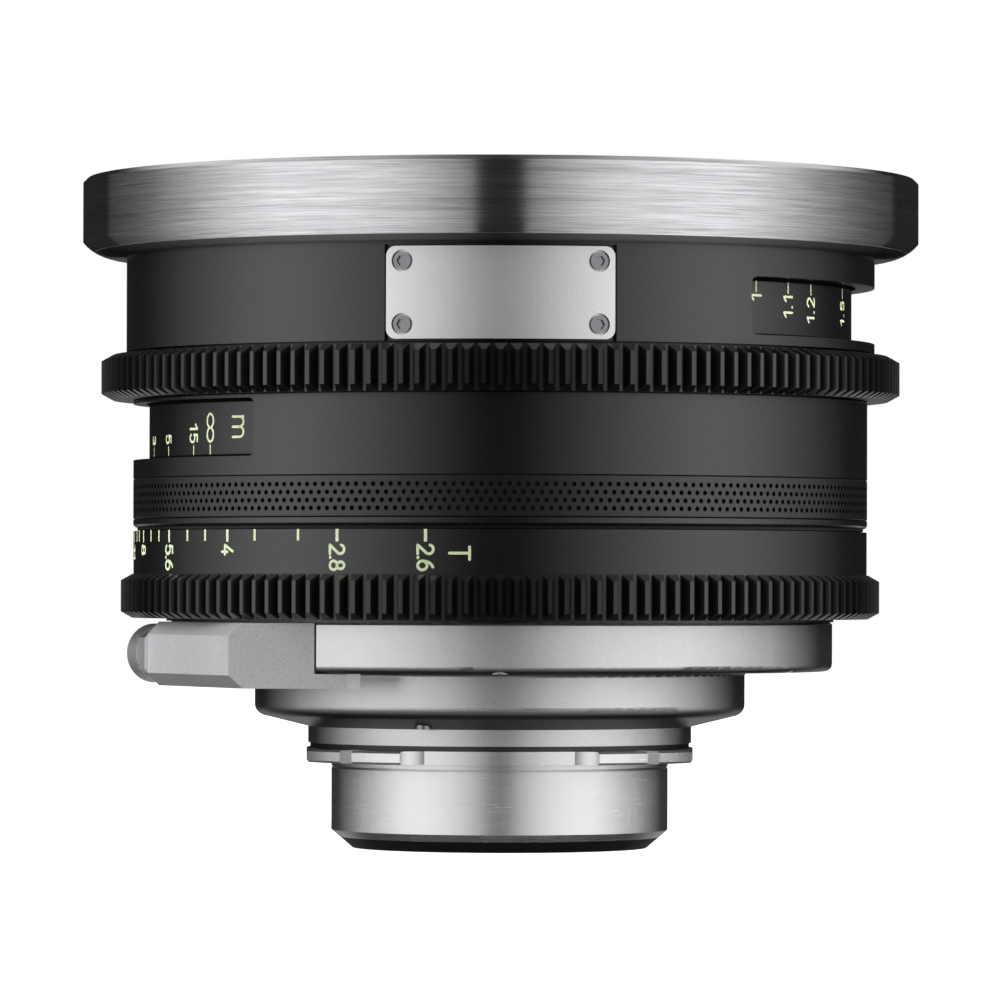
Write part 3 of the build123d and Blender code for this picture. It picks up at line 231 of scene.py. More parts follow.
def newGlow(name):
    # A material with only a white emission shader and an output, for what isn't part of the lens
    material = bpy.data.materials.new(name)
    material.use_nodes = True
    tree = material.node_tree
    tree.nodes.clear()
    output = addNode(tree, "ShaderNodeOutputMaterial")
    glow = addNode(tree, "ShaderNodeEmission", Color=(1.0, 1.0, 1.0, 1.0))
    return material, tree, glow, output


def tinted(tree, tone, color):
    # A plain colour times a tone that changes over the surface
    mix = addNode(tree, "ShaderNodeVectorMath", operation="SCALE")
    mix.inputs[0].default_value = color
    tree.links.new(tone, mix.inputs["Scale"])
    return mix.outputs[0]


def bump(tree, shader, height, distance):
    node = addNode(tree, "ShaderNodeBump", Strength=1.0, Distance=distance)
    tree.links.new(height, node.inputs["Height"])
    tree.links.new(node.outputs["Normal"], shader.inputs["Normal"])
    return node


def unevenRoughness(tree, shader, height, values, swing):
    # Roughness goes from a swing under its value to a swing over it as the height crosses its usual range
    low, high = values["heightRange"]
    middle = values["roughness"]
    uneven = mapRange(tree, height, low, high, middle - swing, middle + swing)
    tree.links.new(uneven, shader.inputs["Roughness"])


def facingOf(tree):
    # 0 where the surface looks straight at the eye, 1 at its outline
    return addNode(tree, "ShaderNodeLayerWeight", Blend=0.5).outputs["Facing"]


def edgeShade(tree, facing, values):
    # Painted shade: the studio is dark where a surface turns away, so the tone is painted down from 1 to the
    # shade tone there
    return mapRange(tree, facing, values["edgeStart"], values["edgeStop"], 1.0, values["edgeTone"])


def surfaceNormal(tree):
    return addNode(tree, "ShaderNodeNewGeometry").outputs["Normal"]


# Black anodised aluminium: the covers, rings and lip. Its painted sheen grows towards a grazing look, and a
# painted shade dims it at the outline.
blackAnodised = {
    "color": (0.0022, 0.0022, 0.0024), "ior": 1.9, "roughness": 0.26, "roughnessSwing": 0.04,
    "heightRange": (0.25, 0.75), "fineness": 9000.0, "cloud": 70.0, "contrast": 0.30,
    "bumpDepth": 0.002 * mm, "sheenLow": 0.15, "sheenRise": 1.2, "sheenPower": 0.65,
    "edgeStart": 0.48, "edgeStop": 0.64, "edgeTone": 0.3,
}


# Painted sheen: the specular level grows as the surface turns from the eye, times the painted outline shade
def paintedGrazingSheen(tree, values):
    facing = facingOf(tree)
    shade = edgeShade(tree, facing, values)
    bent = mathNode(tree, "POWER", facing, values["sheenPower"])
    sheen = mathNode(tree, "ADD", mathNode(tree, "MULTIPLY", bent, values["sheenRise"]), values["sheenLow"])
    return mathNode(tree, "MULTIPLY", sheen, shade)


def blackFinish(name, **changes):
    values = {**blackAnodised, **changes}
    material, tree, shader = newFinish(name)
    grain = useGrain(tree, values)
    height = grain.outputs["Height"]
    tree.links.new(tinted(tree, grain.outputs["Tone"], values["color"]), shader.inputs["Base Color"])
    unevenRoughness(tree, shader, height, values, values["roughnessSwing"])
    shader.inputs["IOR"].default_value = values["ior"]
    tree.links.new(paintedGrazingSheen(tree, values), shader.inputs["Specular IOR Level"])
    bump(tree, shader, height, values["bumpDepth"])
    return material


# Bead-blasted aluminium: the mount base, socket housing and nameplate. Its colour holds painted shade: a face
# gets darker as the height of its normal falls from undersideStart to undersideStop, and towards its outline.
blastedAluminium = {
    "color": (0.80, 0.80, 0.815), "metallic": 0.91, "roughness": 0.33, "roughnessSwing": 0.06,
    "heightRange": (0.25, 0.75), "fineness": 3600.0, "cloud": 55.0, "contrast": 0.45,
    "bumpDepth": 0.02 * mm, "underside": 0.14, "undersideStart": -0.25, "undersideStop": -0.65,
    "edgeStart": 0.42, "edgeStop": 0.72, "edgeTone": 0.14,
}


def blastedFinish(name, **changes):
    values = {**blastedAluminium, **changes}
    material, tree, shader = newFinish(name)
    grain = useGrain(tree, values)
    height = grain.outputs["Height"]
    up = partsOf(tree, surfaceNormal(tree))["Z"]
    # Painted shade: darker on faces that look down, and towards the outline
    under = mapRange(tree, up, values["undersideStop"], values["undersideStart"], values["underside"], 1.0)
    edge = edgeShade(tree, facingOf(tree), values)
    tone = mathNode(tree, "MULTIPLY", mathNode(tree, "MULTIPLY", grain.outputs["Tone"], under), edge)
    tree.links.new(tinted(tree, tone, values["color"]), shader.inputs["Base Color"])
    unevenRoughness(tree, shader, height, values, values["roughnessSwing"])
    shader.inputs["Metallic"].default_value = values["metallic"]
    bump(tree, shader, height, values["bumpDepth"])
    return material


# Turned metal: the mount flange, shims, data socket, screws, pins and brass rings, with a painted shade
# towards the outline
turnedMetal = {
    "color": (0.86, 0.86, 0.87), "metallic": 0.88, "roughness": 0.25, "swingShare": 0.15,
    "heightRange": (0.3, 0.7), "fineness": 5200.0, "length": 90.0, "contrast": 0.10,
    "bumpDepth": 0.0012 * mm, "edgeStart": 0.42, "edgeStop": 0.72, "edgeTone": 0.2,
}


def turnedFinish(name, **changes):
    values = {**turnedMetal, **changes}
    material, tree, shader = newFinish(name)
    lines = useLines(tree, values)
    height = lines.outputs["Height"]
    # Painted shade towards the outline
    edge = edgeShade(tree, facingOf(tree), values)
    tone = mathNode(tree, "MULTIPLY", lines.outputs["Tone"], edge)
    tree.links.new(tinted(tree, tone, values["color"]), shader.inputs["Base Color"])
    unevenRoughness(tree, shader, height, values, values["roughness"] * values["swingShare"])
    shader.inputs["Metallic"].default_value = values["metallic"]
    bump(tree, shader, height, values["bumpDepth"])
    return material


# Front ring: a bare land brushed round the axis over a black foot and bore. The brushing spreads a
# reflection along the height and leaves it sharp round the ring, and it softens the turn into the flare.
frontRing = {
    "landColor": (0.76, 0.76, 0.785), "landRoughness": 0.18, "anisotropy": 1.0, "quarterTurn": 0.25,
    "fineness": 8200.0, "length": 95.0, "contrast": 2.3, "lineDepth": 0.006 * mm,
    "flareHeight": 0.85 * mm, "landDepth": 3.6 * mm, "overTop": 1.0 * mm, "normalFade": 0.05,
}


def landNormal(tree):
    # The shading normal is radial wherever the ring stands upright or looks down
    coords = addNode(tree, "ShaderNodeTexCoord")
    flat = addNode(tree, "ShaderNodeVectorMath", operation="MULTIPLY")
    flat.inputs[1].default_value = (1.0, 1.0, 0.0)
    tree.links.new(coords.outputs["Object"], flat.inputs[0])
    radial = addNode(tree, "ShaderNodeVectorMath", operation="NORMALIZE")
    tree.links.new(flat.outputs[0], radial.inputs[0])
    normal = surfaceNormal(tree)
    below = mapRange(tree, partsOf(tree, normal)["Z"], 0.0, frontRing["normalFade"], 1.0, 0.0)
    blend = addNode(tree, "ShaderNodeMix", data_type="VECTOR")
    tree.links.new(below, blend.inputs[0])
    tree.links.new(normal, blend.inputs[4])
    tree.links.new(radial.outputs[0], blend.inputs[5])
    return blend.outputs[1]


def frontRingFinish():
    material, tree, shader = newFinish("brushedFrontRing")
    low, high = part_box("front_ring")
    lines = useLines(tree, frontRing)
    grain = useGrain(tree, blackAnodised)
    landLow = low.z + frontRing["flareHeight"]
    landHigh = high.z + frontRing["overTop"]
    zone = useGroup(tree, ringZone, Low=landLow, High=landHigh, Radius=high.x - frontRing["landDepth"])
    mask = zone.outputs["Mask"]
    color = addNode(tree, "ShaderNodeMix", data_type="RGBA")
    tree.links.new(mask, color.inputs[0])
    tree.links.new(tinted(tree, grain.outputs["Tone"], blackAnodised["color"]), color.inputs[6])
    tree.links.new(tinted(tree, lines.outputs["Tone"], frontRing["landColor"]), color.inputs[7])
    tree.links.new(color.outputs[2], shader.inputs["Base Color"])
    tree.links.new(mask, shader.inputs["Metallic"])
    rough = mapRange(tree, mask, 0.0, 1.0, blackAnodised["roughness"], frontRing["landRoughness"])
    tree.links.new(rough, shader.inputs["Roughness"])
    shader.inputs["IOR"].default_value = blackAnodised["ior"]
    shader.inputs["Anisotropic Rotation"].default_value = frontRing["quarterTurn"]
    tree.links.new(mathNode(tree, "MULTIPLY", mask, frontRing["anisotropy"]), shader.inputs["Anisotropic"])
    tangent = addNode(tree, "ShaderNodeTangent", direction_type="RADIAL", axis="Z")
    tree.links.new(tangent.outputs[0], shader.inputs["Tangent"])
    height = mathNode(tree, "MULTIPLY", lines.outputs["Height"], mask)
    lift = bump(tree, shader, height, frontRing["lineDepth"])
    tree.links.new(landNormal(tree), lift.inputs["Normal"])
    return material


# Coated glass: clear, with a coloured coating that shows in the highlights
coatedGlass = {"ior": 1.62, "color": (0.93, 0.98, 0.95)}


def glassFinish(name, coating):
    material, tree, shader = newFinish(name)
    shader.inputs["Base Color"].default_value = (*coatedGlass["color"], 1.0)
    shader.inputs["Roughness"].default_value = 0.0
    shader.inputs["IOR"].default_value = coatedGlass["ior"]
    shader.inputs["Transmission Weight"].default_value = 1.0
    shader.inputs["Specular Tint"].default_value = (*coating, 1.0)
    return material


# Marking paint, slightly uneven as it sits in the engraving
markPaint = {"color": (0.40, 0.46, 0.28), "roughness": 0.6, "roughnessSwing": 0.1, "heightRange": (0.2, 0.8),
             "fineness": 6000.0, "cloud": 400.0, "contrast": 0.25}


def paintFinish():
    material, tree, shader = newFinish("markingPaint")
    grain = useGrain(tree, markPaint)
    tree.links.new(tinted(tree, grain.outputs["Tone"], markPaint["color"]), shader.inputs["Base Color"])
    unevenRoughness(tree, shader, grain.outputs["Height"], markPaint, markPaint["roughnessSwing"])
    return material


# Shadow lines on the drum where it passes under the upper and lower edge of both windows
windowLines = {"height": 9.0 * mm, "upperRise": 1.5 * mm, "lowerRise": 2.9 * mm, "topDepth": 0.55 * mm,
               "bottomDepth": 0.42 * mm, "overlap": 0.5 * mm, "edge": 0.12 * mm}


def shadeWindows(material):
    # The sheen drops to nothing inside four level bands
    tree = material.node_tree
    shader = tree.nodes["Principled BSDF"]
    values = windowLines
    light = None
    for cover, rise in (("upper_cover", values["upperRise"]), ("lower_cover", values["lowerRise"])):
        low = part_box(cover)[0].z + rise
        high = low + values["height"]
        for start, stop in ((low - values["overlap"], low + values["bottomDepth"]),
                            (high - values["topDepth"], high + values["overlap"])):
            zone = useGroup(tree, ringZone, Low=start, High=stop, Edge=values["edge"])
            clear = mathNode(tree, "SUBTRACT", 1.0, zone.outputs["Mask"])
            light = clear if light is None else mathNode(tree, "MULTIPLY", light, clear)
    sheen = shader.inputs["Specular IOR Level"]
    tree.links.new(mathNode(tree, "MULTIPLY", sheen.links[0].from_socket, light), sheen)


black = blackFinish("anodisedBlack")
scaleBlack = blackFinish("scaleBlack", roughness=0.28)
shadeWindows(scaleBlack)
toothBlack = blackFinish("toothBlack", color=(0.0012, 0.0012, 0.0013), roughness=0.3, contrast=0.4)
matteBlack = blackFinish("matteBlack", color=(0.005, 0.005, 0.005), ior=1.45, roughness=0.6,
                         bumpDepth=0.012 * mm)
blasted = blastedFinish("blastedAluminium")
# The housing's painted underside shade is lighter, and it has no painted outline shade
housingSilver = blastedFinish("housingSilver", color=(0.80, 0.80, 0.825), metallic=0.74, underside=0.3,
                              fineness=3800.0, contrast=0.7, edgeTone=1.0)
plateSilver = blastedFinish("plateSilver", color=(0.97, 0.97, 0.98), metallic=0.96, roughness=0.34,
                            contrast=0.12)
flangeMetal = turnedFinish("turnedFlange")
# The shims' dark colour is partly painted shade for the narrow gaps between them
shimSteelAndShade = turnedFinish("shimSteelAndShade", color=(0.08, 0.08, 0.083), metallic=0.9, roughness=0.35)
socketMetal = turnedFinish("socketMetal", color=(0.85, 0.85, 0.86), metallic=0.72, roughness=0.3)
screwSteel = turnedFinish("screwSteel", color=(0.34, 0.34, 0.36), metallic=1.0, roughness=0.24,
                          fineness=3000.0, contrast=0.3)
brass = turnedFinish("turnedBrass", color=(0.70, 0.50, 0.20), roughness=0.32)
gold = turnedFinish("contactGold", color=(0.90, 0.64, 0.22), roughness=0.2)
hardSteel = turnedFinish("groundSteel", color=(0.5, 0.5, 0.52), roughness=0.22)
bladeSteel = blackFinish("bladeSteel", color=(0.01, 0.01, 0.01), roughness=0.4)
ringFinish = frontRingFinish()
paint = paintFinish()
violetGlass = glassFinish("violetCoatedGlass", (0.55, 0.35, 0.9))
greenGlass = glassFinish("greenCoatedGlass", (0.3, 0.85, 0.5))
amberGlass = glassFinish("amberCoatedGlass", (0.9, 0.6, 0.3))
print("finishes made")

# The nodes that have each finish. The nine iris blades, which aren't listed, are blade steel.
finishedNodes = [
    (ringFinish, ["front_ring"]),
    (plateSilver, ["nameplate"]),
    (scaleBlack, ["scale_drum"]),
    (black, ["upper_cover", "lower_cover", "core_barrel", "grip_band"]),
    (toothBlack, ["focus_gear_ring", "iris_ring"]),
    (matteBlack, ["hood_baffle", "front_retainer", "front_barrel", "rear_baffle", "rear_lens_cell",
                  "focusing_cell", "focus_retainers", "doublet_retainer", "rear_retainer", "rear_spacer",
                  "iris_housing", "iris_cover_plate", "socket_insert"]),
    (blasted, ["mount_base"]),
    (housingSilver, ["connector_housing"]),
    (flangeMetal, ["mount_flange"]),
    (shimSteelAndShade, ["shims"]),
    (socketMetal, ["socket_nut", "socket_shell"]),
    (gold, ["socket_contacts"]),
    (screwSteel, ["body_screws", "mount_screws", "nameplate_screws", "drum_screws", "base_lock_screw"]),
    (brass, ["thrust_rings", "helicoid_ring", "helicoid_sleeve", "iris_cam_ring"]),
    (hardSteel, ["drive_pins", "iris_drive_pin", "focus_stop_pins", "focus_stop_block"]),
    (greenGlass, ["front_element", "focus_element_front", "rear_element_front"]),
    (violetGlass, ["second_element", "focus_element_rear", "rear_doublet_rear", "rear_element_back"]),
    (amberGlass, ["third_element", "rear_doublet_front"]),
]
finishOf = {name: finish for finish, names in finishedNodes for name in names}
for name, node in nodes.items():
    node.data.materials.clear()
    node.data.materials.append(finishOf.get(name, bladeSteel))

smoothDegrees = 28.0  # facets of the mount that meet under this angle are shaded as one surface
for name in ("mount_base", "mount_flange"):
    nodes[name].data.shade_smooth()
    nodes[name].data.set_sharp_from_angle(angle=math.radians(smoothDegrees))


# Meshes worked out on the lens's cylinders
def wrapped(points, azimuth, radius):
    # (sideways, height, lift) on the unrolled cylinder becomes a place on the cylinder about the axis
    turn = np.radians(azimuth) + points[:, 0] / radius
    reach = radius + points[:, 2]
    return np.stack([reach * np.sin(turn), -reach * np.cos(turn), points[:, 1]], axis=1)


def makePiece(name, points, faces, material, body):
    mesh = bpy.data.meshes.new(name)
    mesh.from_pydata(points.tolist(), [], faces)
    mesh.materials.append(material)
    piece = bpy.data.objects.new(name, mesh)
    bpy.context.scene.collection.objects.link(piece)
    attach(piece, body)
    return piece


# Engraved characters: each is a width and its strokes, in shares of the height, with round stroke ends
def line(*ends):
    # The two ends and evenly spaced points between them, at most 0.2 apart
    ends = np.array(ends, float)
    count = max(2, int(np.ceil(np.linalg.norm(ends[1] - ends[0]) / 0.2)) + 1)
    return ends[0] + (ends[1] - ends[0]) * np.linspace(0, 1, count)[:, None]


def arc(centreX, centreY, radiusX, radiusY, start, stop, step=15.0):
    # The centre plus the radii times the cosine and sine of an angle that goes from start to stop
    count = max(3, int(round(abs(stop - start) / step)) + 1)
    turn = np.radians(np.linspace(start, stop, count))
    return np.stack([centreX + radiusX * np.cos(turn), centreY + radiusY * np.sin(turn)], axis=1)


characters = {
    "0": (0.56, [arc(0.28, 0.5, 0.28, 0.5, 0, 360)]),
    "1": (0.30, [line((0, 0.76), (0.30, 1)), line((0.30, 1), (0.30, 0))]),
    "2": (0.56, [arc(0.28, 0.72, 0.28, 0.28, 165, -35), line((0.51, 0.56), (0, 0)), line((0, 0), (0.56, 0))]),
    "3": (0.54, [arc(0.27, 0.75, 0.25, 0.25, 150, -90), arc(0.27, 0.26, 0.27, 0.26, 90, -150)]),
    "4": (0.60, [line((0.40, 1), (0, 0.27)), line((0, 0.27), (0.60, 0.27)), line((0.43, 0.5), (0.43, 0))]),
    "5": (0.54, [line((0.49, 1), (0.07, 1)), line((0.07, 1), (0.04, 0.56)),
                 arc(0.26, 0.33, 0.28, 0.33, 140, -145)]),
    "6": (0.56, [arc(0.28, 0.30, 0.28, 0.30, 0, 360), arc(0.52, 0.32, 0.52, 0.68, 180, 105)]),
    "7": (0.54, [line((0, 1), (0.54, 1)), line((0.54, 1), (0.18, 0))]),
    "8": (0.56, [arc(0.28, 0.75, 0.225, 0.25, 0, 360), arc(0.28, 0.26, 0.28, 0.26, 0, 360)]),
    "9": (0.56, [arc(0.28, 0.70, 0.28, 0.30, 0, 360), arc(0.04, 0.68, 0.52, 0.68, 0, -75)]),
    "T": (0.62, [line((0, 1), (0.62, 1)), line((0.31, 1), (0.31, 0))]),
    "m": (1.24, [line((0, 0), (0, 1)), arc(0.31, 0.66, 0.31, 0.34, 180, 0), line((0.62, 0.66), (0.62, 0)),
                 arc(0.93, 0.66, 0.31, 0.34, 180, 0), line((1.24, 0.66), (1.24, 0))]),
    "i": (1.90, [arc(0.475, 0.5, 0.475, 0.37, 0, 360), arc(1.425, 0.5, 0.475, 0.37, 0, 360)]),
    ".": (0.05, [line((0.0, 0.02), (0.05, 0.02))]),
}
letterGap = 0.36  # between two characters, as a share of their height


def strokeOutline(path, half):
    # A strip along the path with a half round at each end, or a closed ring where the path closes
    closed = len(path) > 3 and np.allclose(path[0], path[-1])
    if closed:
        path = path[:-1]
        along = np.roll(path, -1, axis=0) - np.roll(path, 1, axis=0)
    else:
        along = np.gradient(path, axis=0)
    along /= np.linalg.norm(along, axis=1)[:, None]
    side = np.stack([-along[:, 1], along[:, 0]], axis=1) * half
    count = len(path)
    left, right = path + side, path - side
    step = np.arange(count)
    if closed:
        after = (step + 1) % count
        points = np.concatenate([left, right])
        faces = np.stack([step, step + count, after + count, after], axis=1).tolist()
        return points, faces, [step.tolist(), (step[::-1] + count).tolist()]
    caps = []
    for centre, start in ((path[-1], side[-1]), (path[0], -side[0])):
        turn = -np.radians(np.linspace(0, 180, 7)[1:-1])
        spin = np.stack([np.stack([np.cos(turn), -np.sin(turn)]), np.stack([np.sin(turn), np.cos(turn)])])
        caps.append(centre + np.einsum("ijk,j->ki", spin, start))
    points = np.concatenate([left, caps[0], right[::-1], caps[1]])
    cap = len(caps[0])
    rightSide = 2 * count + cap - 1 - step
    faces = np.stack([step[:-1], rightSide[:-1], rightSide[1:], step[1:]], axis=1).tolist()
    faces.append([count - 1, rightSide[-1], *range(count + cap - 1, count - 1, -1)])
    faces.append([rightSide[0], 0, *range(2 * count + 2 * cap - 1, 2 * count + cap - 1, -1)])
    return points, faces, [list(range(len(points)))[::-1]]


class MarkSheet:
    # Collects raised paint marks on one cylinder as small closed plates
    def __init__(self, radius, lift=0.022 * mm, sink=0.03 * mm):
        self.radius, self.lift, self.sink = radius, lift, sink
        self.points, self.faces, self.count = [], [], 0

    def plate(self, outline, azimuth):
        # The outline at its lift and again at its sink, with a wall along each of its loops
        flat, faces, loops = outline
        size = len(flat)
        top = np.column_stack([flat, np.full(size, self.lift)])
        bottom = np.column_stack([flat, np.full(size, -self.sink)])
        a, b, c = (flat[k] for k in faces[0][:3])
        if (b[0] - a[0]) * (c[1] - a[1]) - (b[1] - a[1]) * (c[0] - a[0]) < 0:
            faces = [face[::-1] for face in faces]
            loops = [loop[::-1] for loop in loops]
        whole = list(faces) + [[k + size for k in face[::-1]] for face in faces]
        for loop in loops:
            whole += [[a, a + size, b + size, b] for a, b in zip(loop, loop[1:] + loop[:1])]
        self.points.append(wrapped(np.concatenate([top, bottom]), azimuth, self.radius))
        self.faces += [[k + self.count for k in face] for face in whole]
        self.count += 2 * size

    def bar(self, azimuth, low, high, width):
        side = width / 2
        flat = np.array([[-side, low], [side, low], [side, high], [-side, high]])
        self.plate((flat, [[0, 1, 2, 3]], [[3, 2, 1, 0]]), azimuth)

    def text(self, words, azimuth, start, height, stroke, reading, gap=letterGap):
        # reading is -1 for words that run down the lens and 1 for words that run up
        cursor = 0.0
        size = height - stroke
        for letter in words:
            width, strokes = characters[letter]
            for path in strokes:
                along = (path[:, 0] + cursor) * size + stroke / 2
                across = (path[:, 1] - 0.5) * size
                flat = np.stack([-reading * across, start + reading * along], axis=1)
                self.plate(strokeOutline(flat, stroke / 2), azimuth)
            cursor += width + gap

    def make(self, name, body):
        return makePiece(name, np.concatenate(self.points), self.faces, paint, body)


def textLength(words, height, stroke):
    # The widths and the gaps between them, times the height without a stroke, plus a stroke
    size = height - stroke
    return (sum(characters[letter][0] for letter in words) + letterGap * (len(words) - 1)) * size + stroke


# Distance scales: turn in degrees from infinity, in metres of distance
distanceScale = {
    "turns": {"i": 0.0, "15": 5.0, "5": 14.8, "3": 24.1, "2": 36.8, "1.5": 53.0, "1.2": 67.4, "1.1": 74.3,
              "1": 82.3, "0.9": 92.5, "0.8": 105.0, "0.7": 121.0, "0.6": 141.5, "0.5": 169.0, "0.4": 200.0},
    "unitTurn": -7.1, "height": 2.65 * mm, "stroke": 0.37 * mm, "tickWidth": 0.28 * mm,
    "upperInfinity": 126.8, "upperTickHigh": 75.2 * mm, "upperTickLow": 73.5 * mm, "upperTextEnd": 73.17 * mm,
    "lowerInfinity": -53.2, "lowerTickLow": 48.3 * mm, "lowerTickHigh": 49.8 * mm, "lowerTextEnd": 50.12 * mm,
    "unitHeight": 2.9 * mm, "upperUnitEnd": 69.2 * mm, "lowerUnitEnd": 50.75 * mm,
}


def distanceMarks():
    values = distanceScale
    height, stroke, unitHeight = values["height"], values["stroke"], values["unitHeight"]
    upper = MarkSheet(drumRadius)
    lower = MarkSheet(drumRadius)
    for words, turn in values["turns"].items():
        length = textLength(words, height, stroke)
        azimuth = values["upperInfinity"] - turn
        upper.bar(azimuth, values["upperTickLow"], values["upperTickHigh"], values["tickWidth"])
        upper.text(words, azimuth, values["upperTextEnd"] - length, height, stroke, 1)
        azimuth = values["lowerInfinity"] - turn
        lower.bar(azimuth, values["lowerTickLow"], values["lowerTickHigh"], values["tickWidth"])
        lower.text(words, azimuth, values["lowerTextEnd"] + length, height, stroke, -1)
    azimuth = values["upperInfinity"] - values["unitTurn"]
    upper.text("m", azimuth, values["upperUnitEnd"], unitHeight, stroke, 1)
    azimuth = values["lowerInfinity"] - values["unitTurn"]
    start = values["lowerUnitEnd"] + textLength("m", unitHeight, stroke)
    lower.text("m", azimuth, start, unitHeight, stroke, -1)
    upper.make("distance_marks_upper", "focus_ring")
    lower.make("distance_marks_lower", "focus_ring")


# T scale on the iris ring, engraved from its front edge
stopScale = {
    "stops": {"2.6": -11.1, "2.8": -25.0, "4": -45.7, "5.6": -61.6, "8": -73.3, "11": -82.3, "16": -90.0,
              "22": -96.0},
    "between": [-31.7, -39.9, -51.0, -55.8, -65.5, -69.1, -76.4, -78.6], "letterAzimuth": -6.0,
    "height": 2.85 * mm, "stroke": 0.43 * mm, "gap": 0.2, "tickWidth": 0.50 * mm, "tickLength": 1.9 * mm,
    "minorWidth": 0.425 * mm, "minorLength": 1.75 * mm, "textDrop": 2.2 * mm,
    "letterHeight": 3.5 * mm, "letterDrop": 2.5 * mm,
}


def stopMarks():
    values = stopScale
    stroke = values["stroke"]
    sheet = MarkSheet(irisRadius)
    for words, azimuth in values["stops"].items():
        sheet.bar(azimuth, irisTop - values["tickLength"], irisTop, values["tickWidth"])
        sheet.text(words, azimuth, irisTop - values["textDrop"], values["height"], stroke, -1, values["gap"])
    for azimuth in values["between"]:
        sheet.bar(azimuth, irisTop - values["minorLength"], irisTop, values["minorWidth"])
    start = irisTop - values["letterDrop"]
    sheet.text("T", values["letterAzimuth"], start, values["letterHeight"], stroke, -1)
    sheet.make("stop_marks", "iris_control")


distanceMarks()
stopMarks()
print("scales made")


# Grip band with four staggered rows of small blind holes. Its back lies seatDepth under the lower cover.
gripBand = {
    "columns": 263, "rows": 4, "rowPitch": 1.2233 * mm, "centre": 41.655 * mm, "edge": 0.25 * mm,
    "holeRadius": 0.38 * mm, "holeDepth": 1.1 * mm, "holeSides": 12, "floorShare": 0.9,
    "seatDepth": 2.05 * mm, "weldReach": 0.004 * mm,
}


def gripMesh():
    # Unrolled cells, each a rectangle with a round blind hole, wrapped on the cylinder and closed behind
    values = gripBand
    radius = gripHigh.x
    columns, rows, sides = values["columns"], values["rows"], values["holeSides"]
    cellWidth = 2 * math.pi * radius / columns
    cellHeight = values["rowPitch"]
    turn = np.radians(np.arange(sides) * 360.0 / sides)
    rim = np.stack([np.cos(turn), np.sin(turn)], axis=1) * values["holeRadius"]
    border = np.array([[1, 0], [1, 1], [0.5, 1], [0, 1], [-0.5, 1], [-1, 1], [-1, 0], [-1, -1], [-0.5, -1],
                       [0, -1], [0.5, -1], [1, -1]]) * (0.5 * cellWidth, 0.5 * cellHeight)
    level = np.zeros(sides)
    cell = np.concatenate([np.column_stack([border, level]), np.column_stack([rim, level]),
                           np.column_stack([rim * values["floorShare"], level - values["holeDepth"]])])
    around = np.arange(sides)
    following = (around + 1) % sides
    strip = np.stack([around, following, following + sides, around + sides], axis=1)
    cellFaces = np.concatenate([strip, strip + sides])
    column, row = np.meshgrid(np.arange(columns), np.arange(rows), indexing="ij")
    column, row = column.ravel(), row.ravel()
    shift = np.stack([(column + 0.5 * ((row + 1) % 2)) * cellWidth,
                      values["centre"] + (row - (rows - 1) / 2) * cellHeight, np.zeros(len(row))], axis=1)
    points = (cell[None] + shift[:, None]).reshape(-1, 3)
    start = np.arange(len(row)) * len(cell)
    faces = (cellFaces[None] + start[:, None, None]).reshape(-1, 4).tolist()
    faces += (2 * sides + around[None] + start[:, None]).tolist()
    # The plain strip above the rows, the upper end, the back, the lower end and the strip below
    low, high = gripLow.z, gripHigh.z
    rowsLow = values["centre"] - rows * cellHeight / 2
    rowsHigh = values["centre"] + rows * cellHeight / 2
    edge = values["edge"]
    inner = lowerRadius - values["seatDepth"] - radius
    profile = [(rowsHigh, 0.0), (high - edge, 0.0), (high, -edge), (high, inner),
               (low, inner), (low, -edge), (low + edge, 0.0), (rowsLow, 0.0)]
    quarter = np.arange(4 * columns) * cellWidth / 4
    grid = np.array([[[side, height, lift] for height, lift in profile] for side in quarter])
    count = len(profile)
    here = np.arange(4 * columns) * count + len(points)
    after = np.roll(here, -1)
    points = np.concatenate([points, grid.reshape(-1, 3)])
    for place in range(count - 1):
        quads = np.stack([here, after, after + 1, here + 1], axis=1) + place
        faces += quads.tolist()
    return wrapped(points, 0.0, radius), faces


points, faces = gripMesh()
gripBlack = blackFinish("gripBlack", roughness=0.38)
grip = makePiece("grip_band_dimpled", points, faces, gripBlack, "lens_body")
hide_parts("grip_band")
weld = grip.modifiers.new("weld", "WELD")
weld.merge_threshold = gripBand["weldReach"]
print("grip band made")


# A dark seal that closes the slit over the iris ring. It stays clear of the ring by its axial clearance.
ringSeal = {"innerRadius": 53.5 * mm, "outerRadius": 58.2 * mm, "clearance": 0.14 * mm, "around": 240}


def makeSeal(name, low, high):
    # A closed ring: a rectangle of radius and height swept round the axis
    values = ringSeal
    near, far = low + values["clearance"], high - values["clearance"]
    section = np.array([(values["innerRadius"], near), (values["outerRadius"], near),
                        (values["outerRadius"], far), (values["innerRadius"], far)])
    count = values["around"]
    turn = 2 * math.pi * np.arange(count) / count
    points = np.stack([np.outer(np.cos(turn), section[:, 0]), np.outer(np.sin(turn), section[:, 0]),
                       np.outer(np.ones(count), section[:, 1])], axis=2).reshape(-1, 3)
    here = np.arange(count)[:, None] * 4
    after = (np.arange(count)[:, None] + 1) % count * 4
    corner = np.arange(4)[None]
    following = (corner + 1) % 4
    faces = np.stack([here + corner, after + corner, after + following, here + following], axis=2)
    return makePiece(name, points, faces.reshape(-1, 4).tolist(), matteBlack, "lens_body")


makeSeal("front_seal", irisTop, gripLow.z)
print("seal made")

